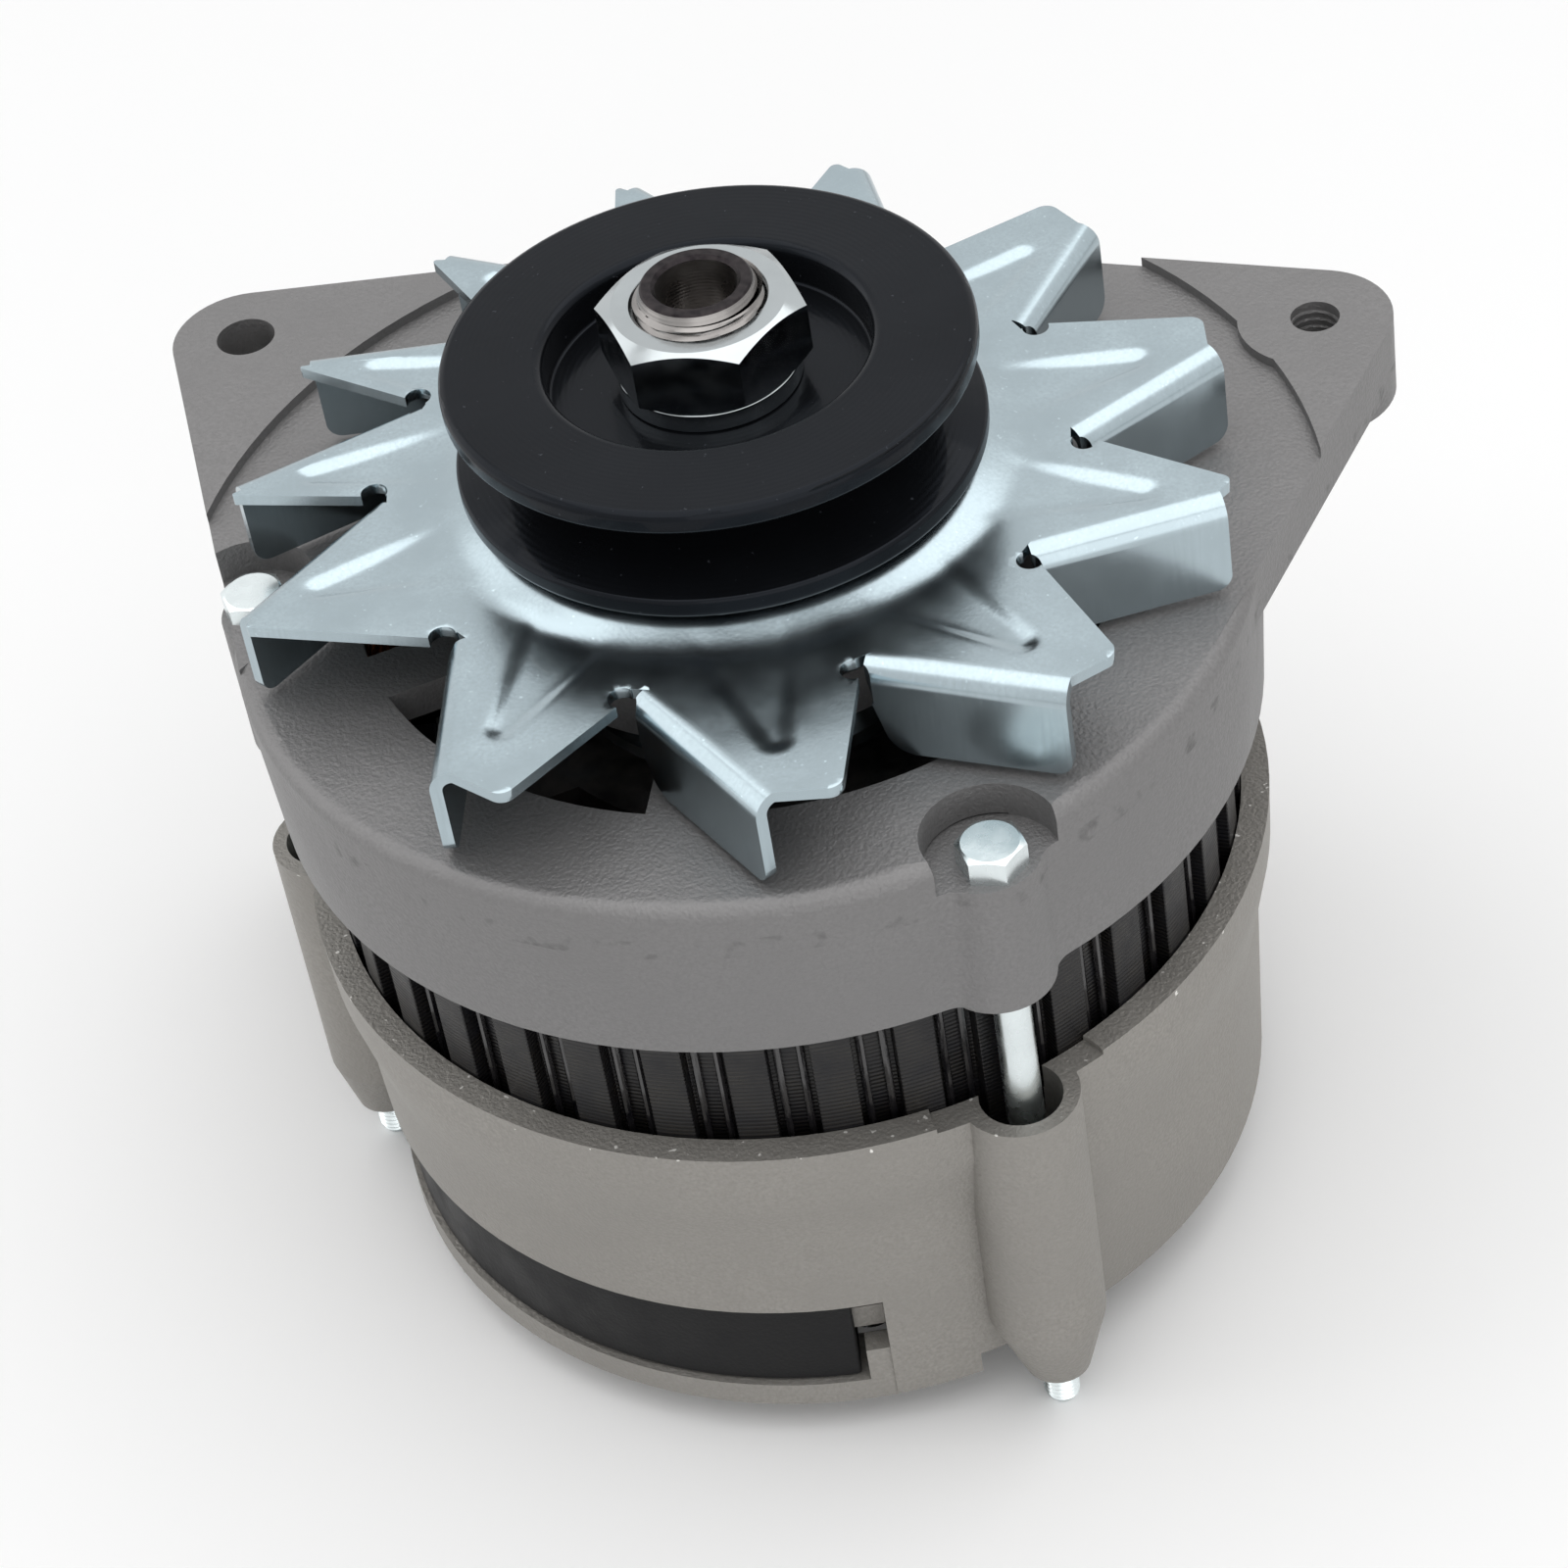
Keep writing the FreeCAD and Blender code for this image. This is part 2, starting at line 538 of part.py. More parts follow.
def ear(reach, angle, end, body):
    """The outline of an ear: tangents from the round body to a round end."""
    def draw(sketch):
        distance, small, large = value(reach), value(end), value(body)
        direction = value(angle)
        lean = math.degrees(math.acos((large - small) / distance))
        centre = polar(distance, direction)
        sketch.addGeometry(arc_between(centre, small, direction - lean, 2 * lean))
        for side in (1, -1):
            offset = polar(small, direction + side * lean)
            sketch.addGeometry(Part.LineSegment(centre + offset, polar(large, direction + side * lean)))
        left = polar(large, direction + lean)
        right = polar(large, direction - lean)
        sketch.addGeometry(Part.LineSegment(left, right))
    return draw


def ear_pad(name, angle):
    """The raised end of an ear, from an arc about the shaft to its round end."""
    def draw(sketch):
        distance, small = value(f"{name}_reach"), value("ear_radius")
        large, inner = value(FLANK_RADIUS[name]), value(f"{name}_pad_radius")
        direction = value(angle)
        lean = math.degrees(math.acos((large - small) / distance))
        # The flank is the line at distance large from the shaft axis
        spread = lean - math.degrees(math.acos(large / inner))
        centre = polar(distance, direction)
        sketch.addGeometry(arc_between(centre, small, direction - lean, 2 * lean))
        sketch.addGeometry(arc_between(ORIGIN, inner, direction - spread, 2 * spread))
        for side in (1, -1):
            outer_end = centre + polar(small, direction + side * lean)
            inner_end = polar(inner, direction + side * spread)
            sketch.addGeometry(Part.LineSegment(inner_end, outer_end))
    return draw


def hexagon(flats, across="0", along="0"):
    points = []
    for corner in range(6):
        angle = 60 * corner + 30
        cosine, sine = math.cos(math.radians(angle)), math.sin(math.radians(angle))
        reach = f"({flats} / sqrt(3))"
        points.append((f"({across} + {reach} * {cosine:.9f})", f"({along} + {reach} * {sine:.9f})"))
    return polygon(points)


def at(radius, angle):
    """A place on a circle as a pair of expressions."""
    return (f"({radius} * cos({angle} * 1deg))", f"({radius} * sin({angle} * 1deg))")


BOLT_PLACE = at(BOLT_CIRCLE, "bolt_angle")
FLANK_RADIUS = {name: f"({BRACKET_RADIUS} - {name}_flank_inset)" for name in ("pivot", "adjust")}
PIVOT_PLACE = ("(-pivot_reach)", "0")
ADJUST_PLACE = at("adjust_reach", "adjust_angle")


def ring(label, inner, outer, low, high):
    piece = Piece(label)
    piece.turn([(inner, low), (outer, low), (outer, high), (inner, high)])
    return piece


# How closely an edge has to lie where it is looked for.
MOST_OF_WALL = 0.7
UPRIGHT_DRIFT = 3.0
EDGE_SPREAD = 0.5


def on_circle_at(height, radius, spread=0.3):
    """Picks round edges at one height and radius about the shaft axis."""
    def wanted(edge):
        box = edge.BoundBox
        if not isinstance(edge.Curve, Part.Circle) or box.ZLength > 0.01:
            return False
        near_height = abs(box.ZMin - value(height)) < 0.05
        centred = edge.Curve.Center.distanceToPoint(FreeCAD.Vector(0, 0, box.ZMin)) < 0.01
        return near_height and centred and abs(edge.Curve.Radius - value(radius)) < spread
    return wanted


def boss_foot(reach, top):
    """Picks the upright lines where a boss meets the round wall."""
    def wanted(edge):
        box = edge.BoundBox
        tall = box.ZLength > MOST_OF_WALL * (value(top) - value(SKIRT_LOW))
        upright = box.XLength + box.YLength < UPRIGHT_DRIFT
        middle = edge.CenterOfGravity
        away = math.hypot(middle.x, middle.y) - value(reach)
        return tall and upright and -EDGE_SPREAD < away < value("bracket_draft") + EDGE_SPREAD
    return wanted


def make_pulley():
    piece = Piece("pulley")
    rim = "(pulley_diameter / 2)"
    root = f"({rim} - groove_depth)"
    piece.turn([
        (SLIDE_RADIUS, PULLEY_BOTTOM),
        (f"({rim} - rim_chamfer)", PULLEY_BOTTOM),
        (rim, f"({PULLEY_BOTTOM} + rim_chamfer)"),
        (rim, "(-groove_mouth / 2)"),
        (root, "(-groove_root / 2)"),
        (root, "(groove_root / 2)"),
        (rim, "(groove_mouth / 2)"),
        (rim, f"({PULLEY_TOP} - rim_chamfer)"),
        (f"({rim} - rim_chamfer)", PULLEY_TOP),
        ("recess_radius", PULLEY_TOP),
        ("recess_radius", RECESS_FLOOR),
        (SLIDE_RADIUS, RECESS_FLOOR),
    ])
    piece.edge_break("Fillet", "rim_chamfer * 2", on_circle_at(PULLEY_TOP, "recess_radius"))
    cut_keyway(piece, RECESS_FLOOR, f"({RECESS_FLOOR} - ({PULLEY_BOTTOM}))")


def cut_keyway(piece, top, depth):
    """A slot on the +X side of a bore that clears the key."""
    half = "(key_width / 2 + key_clearance)"
    reach = f"({SHAFT_RADIUS} + key_proud + key_clearance)"
    piece.cut(box_outline("0", reach, f"(-{half})", half), top, depth)


def make_nut():
    piece = Piece("shaft_nut")
    piece.pad(hexagon("nut_flats"), WASHER_TOP, "nut_height")
    piece.cut(circles([("0", "0")], SLIDE_RADIUS), NUT_TOP, "nut_height")
    corner = "(nut_flats / sqrt(3))"
    flat = "(nut_flats / 2)"
    inside = f"({flat} - nut_land)"
    drop = f"(({corner} - {inside}) * tan(nut_bevel * 1deg))"
    for level, sign in ((NUT_TOP, "-"), (WASHER_TOP, "+")):
        piece.turn_cut([
            (inside, level),
            (f"(2 * {corner} - {inside})", level),
            (f"(2 * {corner} - {inside})", f"({level} {sign} 2 * {drop})"),
        ])


def make_washer():
    piece = ring("spring_washer", SLIDE_RADIUS, "(washer_diameter / 2)", RECESS_FLOOR, WASHER_TOP)
    half = "(washer_gap / 2)"
    piece.cut(box_outline("(-washer_diameter)", "0", f"(-{half})", half), WASHER_TOP, "washer_thickness")


def make_shaft():
    piece = Piece("rotor_shaft")
    core = "(rotor_shaft_diameter / 2)"
    rear = "(rear_bearing_bore / 2)"
    piece.turn([
        ("0", SHAFT_TOP),
        (f"({SHAFT_RADIUS} - thread_bevel)", SHAFT_TOP),
        (SHAFT_RADIUS, f"({SHAFT_TOP} - thread_bevel)"),
        (SHAFT_RADIUS, BEARING_LOW),
        (core, BEARING_LOW),
        (core, f"({POLE_LOW} - shaft_step)"),
        (f"({rear} + shaft_step)", f"({POLE_LOW} - 2 * shaft_step)"),
        (f"({rear} + shaft_step)", REAR_BEARING_TOP),
        (rear, REAR_BEARING_TOP),
        (rear, SHAFT_LOW),
        ("0", SHAFT_LOW),
    ])
    piece.cut(circles([("0", "0")], "(socket_diameter / 2)"), SHAFT_TOP, "socket_depth")
    # Half-round seat of the key, milled from the side
    sketch = piece.sketch("XZ_Plane", "(-key_width / 2 - key_clearance)")
    key_disc(sketch, "(key_diameter / 2 + key_clearance)")
    feature = piece.feature("Pocket", sketch)
    feature.Reversed = True
    feature.setExpression("Length", bound("key_width + 2 * key_clearance"))


KEY_CENTRE = f"({SHAFT_RADIUS} + key_proud)"
KEY_HEIGHT = f"(({RECESS_FLOOR} + {FAN_UNDER}) / 2)"


def key_disc(sketch, radius):
    """Half a disc whose flat side stands proud of the shaft on +X."""
    across, up, size = value(KEY_CENTRE), value(KEY_HEIGHT), value(radius)
    centre = FreeCAD.Vector(across, up, 0)
    sketch.addGeometry(arc_between(centre, size, 90, 180))
    high = FreeCAD.Vector(across, up + size, 0)
    low = FreeCAD.Vector(across, up - size, 0)
    sketch.addGeometry(Part.LineSegment(low, high))


def make_key():
    piece = Piece("half_round_key")
    sketch = piece.sketch("XZ_Plane", "(-key_width / 2)")
    key_disc(sketch, "(key_diameter / 2)")
    feature = piece.feature("Pad", sketch)
    feature.setExpression("Length", bound("key_width"))


def blade_angles():
    """For each blade: its fold's root and tip, its corner, the next root."""
    following = [blade[0] for blade in FAN_BLADES[1:]] + [FAN_BLADES[0][0] + 360]
    return [blade + (after,) for blade, after in zip(FAN_BLADES, following)]


def fold_frame(root_angle, tip_angle):
    """Start and end of a fold in plan, and the side that the blade lies on."""
    start = polar(value("fan_fold_radius"), root_angle)
    end = polar(value("fan_diameter / 2"), tip_angle)
    along = (end - start).normalize()
    inward = UP.cross(along)
    return start, end, along, inward


def blade_plan(root_angle, tip_angle, corner_angle, next_root):
    """The flat part of a blade, from beside its fold to its plain edge."""
    start, end, along, inward = fold_frame(root_angle, tip_angle)
    beside = inward * (value("fan_bend") + value("fan_sheet"))
    tip_radius = value("fan_diameter / 2")
    least = tip_angle + math.degrees(beside.Length / tip_radius) + value("fan_blade_least")
    corner = polar(tip_radius, max(corner_angle, least))
    notch = polar(value("fan_fold_radius"), next_root)
    hub = value("(fan_cone_radius + fan_fold_radius - fan_relief) / 2")
    points = [start + beside, end + beside, corner, notch]
    points += [polar(hub, next_root), polar(hub, (root_angle + next_root) / 2), polar(hub, root_angle)]
    return points


# Most of an edge that a rounded corner may take.
CORNER_SHARE = 0.45


def rounded_face(points, radii):
    """A flat face whose corners are rounded where radii gives them a size."""
    total = len(points)
    edges = []
    last = None
    first = None
    for index, corner in enumerate(points):
        radius = radii.get(index, 0)
        before = (points[index - 1] - corner).normalize()
        after = (points[(index + 1) % total] - corner).normalize()
        start, end = corner, corner
        if radius:
            half = before.getAngle(after) / 2
            following = points[(index + 1) % total]
            shortest = min(points[index - 1].distanceToPoint(corner), following.distanceToPoint(corner))
            reach = min(radius / math.tan(half), CORNER_SHARE * shortest)
            start, end = corner + before * reach, corner + after * reach
            towards = (before + after).normalize()
            size = reach * math.tan(half)
            middle = corner + towards * (size / math.sin(half) - size)
        if last is not None:
            edges.append(Part.LineSegment(last, start).toShape())
        if radius:
            edges.append(Part.Arc(start, middle, end).toShape())
        first = start if first is None else first
        last = end
    edges.append(Part.LineSegment(last, first).toShape())
    return Part.Face(Part.Wire(edges))


def prism(points, low, high, radii):
    level = [FreeCAD.Vector(p.x, p.y, low) for p in points]
    return rounded_face(level, radii).extrude(FreeCAD.Vector(0, 0, high - low))


def folded_vane(root_angle, tip_angle):
    """The bend and the vane below it, as one strip swept along the fold."""
    sheet_size = value("fan_sheet")
    inside = value("fan_bend")
    outside = inside + sheet_size
    depth = value("fan_vane_depth")
    top = value(FAN_PLATE)
    start, end, along, inward = fold_frame(root_angle, tip_angle)

    def place(side, drop):
        return start + inward * side + FreeCAD.Vector(0, 0, top - drop)

    turn = math.sqrt(0.5)
    outer_mid = place(outside - outside * turn, outside - outside * turn)
    inner_mid = place(outside - inside * turn, outside - inside * turn)
    edges = [
        Part.LineSegment(place(0, depth), place(0, outside)).toShape(),
        Part.Arc(place(0, outside), outer_mid, place(outside, 0)).toShape(),
        Part.LineSegment(place(outside, 0), place(outside, sheet_size)).toShape(),
        Part.Arc(place(outside, sheet_size), inner_mid, place(sheet_size, outside)).toShape(),
        Part.LineSegment(place(sheet_size, outside), place(sheet_size, depth)).toShape(),
        Part.LineSegment(place(sheet_size, depth), place(0, depth)).toShape(),
    ]
    strip = Part.Face(Part.Wire(edges)).extrude(end - start)
    # The vane's inner edge runs outwards as it goes down, and its lower
    # corners are rounded.
    length = (end - start).Length
    slant = value("fan_vane_slant")

    def side_point(distance, drop):
        return start - inward * sheet_size + along * distance + FreeCAD.Vector(0, 0, top - drop)

    outline = [(0, -sheet_size), (length, -sheet_size), (length, depth), (slant, depth), (0, outside)]
    rounds = {2: value("fan_vane_corner"), 3: value("fan_vane_heel")}
    window = rounded_face([side_point(*p) for p in outline], rounds).extrude(inward * (outside + 2 * sheet_size))
    return strip.common(window)


def blade_rib(root_angle, tip_angle, corner_angle, next_root):
    """A pressed rib: a wide foot on the cone that narrows towards the fold."""
    top = value(FAN_PLATE)
    low = top - value("fan_sheet") / 2
    high = top + value("fan_rib_height")
    start, end, along, inward = fold_frame(root_angle, tip_angle)
    foot = polar(value("fan_cone_radius"), (root_angle + next_root) / 2)
    tip = polar(value("fan_rib_reach"), (tip_angle + corner_angle) / 2 - value("fan_rib_turn"))
    way = (tip - foot).normalize()
    side = UP.cross(way) * value("fan_rib_width")

    def lifted(point, level):
        return FreeCAD.Vector(point.x, point.y, level)

    left = lifted(foot + side, low)
    right = lifted(foot - side, low)
    point = lifted(tip, low)
    back = lifted(foot - side * value("fan_rib_ridge"), high)
    front = lifted(tip - way * value("fan_rib_end"), high)
    faces = [
        (left, right, point),
        (left, right, back),
        (left, back, front),
        (left, front, point),
        (right, back, front),
        (right, front, point),
    ]
    made = [Part.Face(Part.makePolygon(list(face) + [face[0]])) for face in faces]
    return Part.Solid(Part.Shell(made))


def make_fan():
    """One pressed sheet: a dished hub, twelve flat blades, a vane under each."""
    hub = value("fan_hub_radius")
    cone = value("fan_cone_radius")
    bore = value(SLIDE_RADIUS)
    thick = value("fan_sheet")
    top_hub = value(PULLEY_BOTTOM)
    top_plate = value(FAN_PLATE)
    rim = value("fan_fold_radius") - value("fan_relief")
    profile = [
        (bore, top_hub), (hub, top_hub), (cone, top_plate), (rim, top_plate),
        (rim, top_plate - thick), (cone, top_plate - thick), (hub, top_hub - thick), (bore, top_hub - thick),
    ]
    points = [FreeCAD.Vector(radius, 0, height) for radius, height in profile]
    face = Part.Face(Part.makePolygon(points + [points[0]]))
    fan = face.revolve(ORIGIN, UP, 360)
    blades = []
    cutters = []
    outside = value("fan_bend") + thick
    for blade in blade_angles():
        root_angle, tip_angle = blade[:2]
        blades.append(prism(blade_plan(*blade), top_plate - thick, top_plate, {2: value("fan_blade_corner")}))
        blades.append(folded_vane(root_angle, tip_angle))
        hole = polar(value("fan_fold_radius"), root_angle - 1, top_plate - 2 * outside)
        cutters.append(Part.makeCylinder(value("fan_relief"), 4 * outside, hole, UP))
    reach = value(f"{SHAFT_RADIUS} + key_proud + key_clearance")
    slot = value("key_width + 2 * key_clearance")
    keyway = Part.makeBox(reach, slot, 4 * thick, FreeCAD.Vector(0, -slot / 2, top_hub - 2 * thick))
    fan = fan.fuse(blades).cut(cutters + [keyway])
    ribs = [blade_rib(*angles) for angles in blade_angles()]
    fan = fan.fuse(ribs).removeSplitter()
    feature = doc.addObject("Part::Feature", "fan")
    feature.Label = "fan"
    feature.Shape = fan.Solids[0] if len(fan.Solids) == 1 else fan
    feature.Placement = FreeCAD.Placement()


def bearing(end, inner_bore, top):
    """A ball bearing as an outer ring, an inner ring, and balls in a cage."""
    prefix = f"{end}_bearing"
    outer, width, ball = f"{prefix}_outer", f"{prefix}_width", f"{end}_ball"
    low = f"({top} - {width})"
    middle = f"({top} - {width} / 2)"
    inner = f"({inner_bore} / 2 + bearing_fit)"
    outside = f"({outer} / 2)"
    pitch = f"(({inner} + {outside}) / 2)"
    track = f"({ball} / 2 + ball_clearance)"
    shoulder = f"({ball} * shoulder_ratio)"
    ring(f"{prefix}_outer_ring", f"({pitch} + {shoulder})", outside, low, top)
    ring(f"{prefix}_inner_ring", inner, f"({pitch} - {shoulder})", low, top)
    for part in ("outer_ring", "inner_ring"):
        piece = doc.getObjectsByLabel(f"{prefix}_{part}")[0]
        cut_ball(piece, pitch, middle, track)
    make_balls(prefix, pitch, middle, ball, shoulder)


def cut_ball(body, pitch, middle, track):
    """The round track that the balls run in."""
    sketch = body.newObject("Sketcher::SketchObject", f"{body.Name}_track")
    plane = next(item for item in body.Origin.OriginFeatures if item.Role == "XZ_Plane")
    sketch.AttachmentSupport = (plane, [""])
    sketch.MapMode = "FlatFace"
    circles([(pitch, middle)], track)(sketch)
    groove = body.newObject("PartDesign::Groove", f"{body.Name}_groove")
    groove.Profile = sketch
    groove.ReferenceAxis = (sketch, ["V_Axis"])
    groove.Angle = 360


def make_balls(prefix, pitch, middle, ball, shoulder):
    piece = Piece(f"{prefix}_balls")
    half = f"({shoulder} * cage_ratio)"
    band = f"({ball} * cage_height)"
    piece.turn([
        (f"({pitch} - {half})", f"({middle} - {band})"),
        (f"({pitch} + {half})", f"({middle} - {band})"),
        (f"({pitch} + {half})", f"({middle} + {band})"),
        (f"({pitch} - {half})", f"({middle} + {band})"),
    ])
    sketch = piece.sketch("XZ_Plane")
    radius = value(ball) / 2
    centre = FreeCAD.Vector(value(pitch), value(middle), 0)
    sketch.addGeometry(arc_between(centre, radius, -90, 180))
    rise = FreeCAD.Vector(0, radius, 0)
    sketch.addGeometry(Part.LineSegment(centre + rise, centre - rise))
    feature = piece.feature("Revolution", sketch)
    feature.ReferenceAxis = (sketch, ["Edge2"])
    feature.Angle = 360
    piece.around([feature], int(value("ball_count")))


def make_drive_end_bracket():
    piece = Piece("drive_end_bracket")
    low_radius = f"({BRACKET_RADIUS} - bracket_draft)"
    core_seat = "(core_radius + core_fit)"
    ledge = "(core_radius - core_ledge)"
    ceiling = f"({FACE} - bracket_face)"
    piece.turn([
        ("window_radius", FACE),
        (BRACKET_RADIUS, FACE),
        (low_radius, SKIRT_LOW),
        (core_seat, SKIRT_LOW),
        (core_seat, CORE_TOP),
        (ledge, CORE_TOP),
        (ledge, ceiling),
        ("window_radius", ceiling),
    ])
    piece.edge_break("Fillet", "bracket_edge", on_circle_at(FACE, BRACKET_RADIUS))
    # Ears: webs tangent to the body, thicker bosses at the holes, raised pads
    ears = (
        ("pivot", "180", PIVOT_PLACE),
        ("adjust", "adjust_angle", ADJUST_PLACE),
    )
    pad_top = f"({FACE} + pad_height)"
    for name, angle, place in ears:
        outline = ear(f"{name}_reach", angle, "ear_radius", FLANK_RADIUS[name])
        piece.pad(outline, f"({FACE} - ear_web)", "ear_web")
        piece.pad(ear_pad(name, angle), FACE, "pad_height")
        piece.pad(circles([place], "ear_radius"), f"({pad_top} - {name}_thickness)", f"{name}_thickness")
    # The webs must not fill the inside of the skirt
    piece.cut(circles([("0", "0")], ledge), ceiling, "bracket_skirt")
    piece.cut(circles([("0", "0")], "window_radius"), FACE, "(bracket_face * 2)")
    # Bearing housing on arms
    piece.pad(circles([("0", "0")], "hub_radius"), BEARING_LOW, f"({HUB_TOP} - ({BEARING_LOW}))")
    half = "(spoke_width / 2)"
    arm = piece.pad(
        box_outline("(hub_radius - spoke_root)", "(window_radius + spoke_root)", f"(-{half})", half),
        f"({FACE} - spoke_depth)", "spoke_depth",
    )
    piece.around([arm], SPOKE_COUNT)
    piece.cut(circles([("0", "0")], "lip_radius"), HUB_TOP, f"({HUB_TOP} - ({BEARING_LOW}))")
    piece.cut(
        circles([("0", "0")], "(front_bearing_outer / 2 + bearing_fit)"),
        BEARING_TOP, "front_bearing_width",
    )
    # Bosses for the through bolts, with a recess for each head
    seat = f"({FACE} - bolt_seat)"
    boss_low = f"({SKIRT_LOW} - boss_drop)"
    boss_place = at(f"({BOLT_CIRCLE} - boss_inset)", "bolt_angle")
    boss = piece.pad(circles([boss_place], "bolt_boss"), boss_low, f"({FACE} - ({boss_low}))")
    piece.around([boss], BOLT_COUNT)
    piece.cut(circles([("0", "0")], ledge), ceiling, "bracket_skirt")
    piece.edge_break("Fillet", "boss_blend", boss_foot(low_radius, f"({FACE} - bracket_edge)"))
    floor = piece.pad(
        sector(f"({ledge} - seat_floor)", f"({ledge} + 1)", "(bolt_angle - seat_sweep / 2)", "seat_sweep"),
        f"({seat} - seat_floor)", "seat_floor",
    )
    piece.around([floor], BOLT_COUNT)
    recess = piece.cut(circles([BOLT_PLACE], "bolt_recess"), FACE, "bolt_seat")
    piece.around([recess], BOLT_COUNT)
    piece.cut(circles([("0", "0")], core_seat), CORE_TOP, "(core_bite + boss_drop + 1)")
    passage = circles([BOLT_PLACE], "(bolt_diameter / 2 + bolt_fit)")
    hole = piece.cut(passage, seat, "(bracket_skirt + boss_drop)")
    piece.around([hole], BOLT_COUNT)
    for name, angle, place in ears:
        piece.cut(circles([place], f"({name}_bore / 2)"), pad_top, f"{name}_thickness")
    depth = "(retainer_grip + 1)"
    screw = at("retainer_circle", "0")
    tapping = piece.cut(circles([screw], "(retainer_screw / 2)"), f"({BEARING_LOW} + {depth})", depth)
    piece.around([tapping], RETAINER_SCREWS)


def make_retainer():
    piece = Piece("bearing_retainer")
    low = f"({BEARING_LOW} - retainer_thickness)"
    screw = at("retainer_circle", "0")
    piece.pad(circles([("0", "0")], "(retainer_circle - retainer_rim)"), low, "retainer_thickness")
    lobe = piece.pad(circles([screw], "retainer_lobe"), low, "retainer_thickness")
    piece.around([lobe], RETAINER_SCREWS)
    inside = circles([("0", "0")], "(front_bearing_outer / 2 - retainer_overlap)")
    piece.cut(inside, BEARING_LOW, "retainer_thickness")
    passage = circles([screw], "(retainer_screw / 2 + bolt_fit)")
    hole = piece.cut(passage, BEARING_LOW, "retainer_thickness")
    piece.around([hole], RETAINER_SCREWS)


def make_retainer_screws():
    piece = Piece("retainer_screws")
    screw = at("retainer_circle", "0")
    head = f"({BEARING_LOW} - retainer_thickness)"
    thread = circles([screw], "(retainer_screw / 2 - slide_fit)")
    shank = piece.pad(thread, head, "(retainer_thickness + retainer_grip)")
    round_head = circles([screw], "(retainer_screw * head_ratio)")
    cap = piece.pad(round_head, f"({head} - head_height)", "head_height")
    piece.around([shank, cap], RETAINER_SCREWS)


def make_through_bolts():
    piece = Piece("through_bolts")
    seat = f"({FACE} - bolt_seat)"
    head = piece.pad(hexagon("bolt_flats", *BOLT_PLACE), seat, "bolt_head")
    shank = piece.pad(circles([BOLT_PLACE], "(bolt_diameter / 2)"), "(-bolt_end)", f"({seat} + bolt_end)")
    piece.around([head, shank], BOLT_COUNT)


def make_stator_core():
    piece = ring("stator_core", STATOR_BORE, "core_radius", CORE_LOW, CORE_TOP)
    half = "(rib_gap / 2)"
    channel = piece.cut(
        box_outline("(core_radius - rib_depth)", "(core_radius + 1)", f"(-{half})", half),
        CORE_TOP, "core_length",
    )
    half = "(slot_width / 2)"
    slot = piece.cut(
        box_outline("(rotor_radius - 1)", "(core_radius - core_back)", f"(-{half})", half),
        CORE_TOP, "core_length",
    )
    piece.around([channel, slot], SLOT_COUNT)


def make_stator_windings():
    piece = Piece("stator_windings")
    for face, sign in ((CORE_TOP, "+"), (CORE_LOW, "-")):
        base = f"({face} {sign} winding_stand)"
        tip = f"({face} {sign} winding_height)"
        shy = f"({face} {sign} (winding_height - {WINDING_BEVEL}))"
        piece.turn([
            (WINDING_INNER, base),
            (WINDING_OUTER, base),
            (WINDING_OUTER, shy),
            (f"({WINDING_OUTER} - {WINDING_BEVEL})", tip),
            (f"({WINDING_INNER} + {WINDING_BEVEL})", tip),
            (WINDING_INNER, shy),
        ])
    half = "(slot_width / 2 - winding_fit)"
    far = "(core_radius - core_back - winding_fit)"
    bar = piece.pad(
        box_outline(f"({WINDING_INNER} + winding_fit)", far, f"(-{half})", half),
        f"({CORE_LOW} - winding_height / 2)", "(core_length + winding_height)",
    )
    piece.around([bar], SLOT_COUNT)


def make_claw_pole(label, disc_top, claws_down, turn):
    """A disc with six tapered claws that reach over the field coil."""
    piece = Piece(label)
    disc_low = f"({disc_top} - pole_thickness)"
    bore = "(rotor_shaft_diameter / 2 + bearing_fit)"
    piece.turn([(bore, disc_low), (POLE_DISC, disc_low), (POLE_DISC, disc_top), (bore, disc_top)])
    sign = "-" if claws_down else "+"
    near = disc_top if claws_down else disc_low
    root = disc_low if claws_down else disc_top
    tip = f"({root} {sign} claw_reach)"
    outer = "(rotor_radius + claw_heel)"
    sections = (
        (near, "claw_root", "(rotor_radius - claw_thickness - claw_heel)"),
        (root, "claw_root", "(rotor_radius - claw_thickness)"),
        (tip, "claw_tip", "(rotor_radius - claw_tip_thickness)"),
    )
    outlines = [
        (box_outline(inner, outer, f"(-{width} / 2)", f"({width} / 2)"), height)
        for height, width, inner in sections
    ]
    claws = [piece.loft(outlines[:2]), piece.loft(outlines[1:])]
    piece.around(claws, CLAWS_PER_POLE)
    far = "(2 * rotor_radius)"
    below = f"({POLE_LOW} - claw_heel)"
    above = f"({POLE_TOP} + claw_heel)"
    piece.turn_cut([("rotor_radius", below), (far, below), (far, above), ("rotor_radius", above)])
    piece.body.Placement = FreeCAD.Placement(ORIGIN, UP, turn)


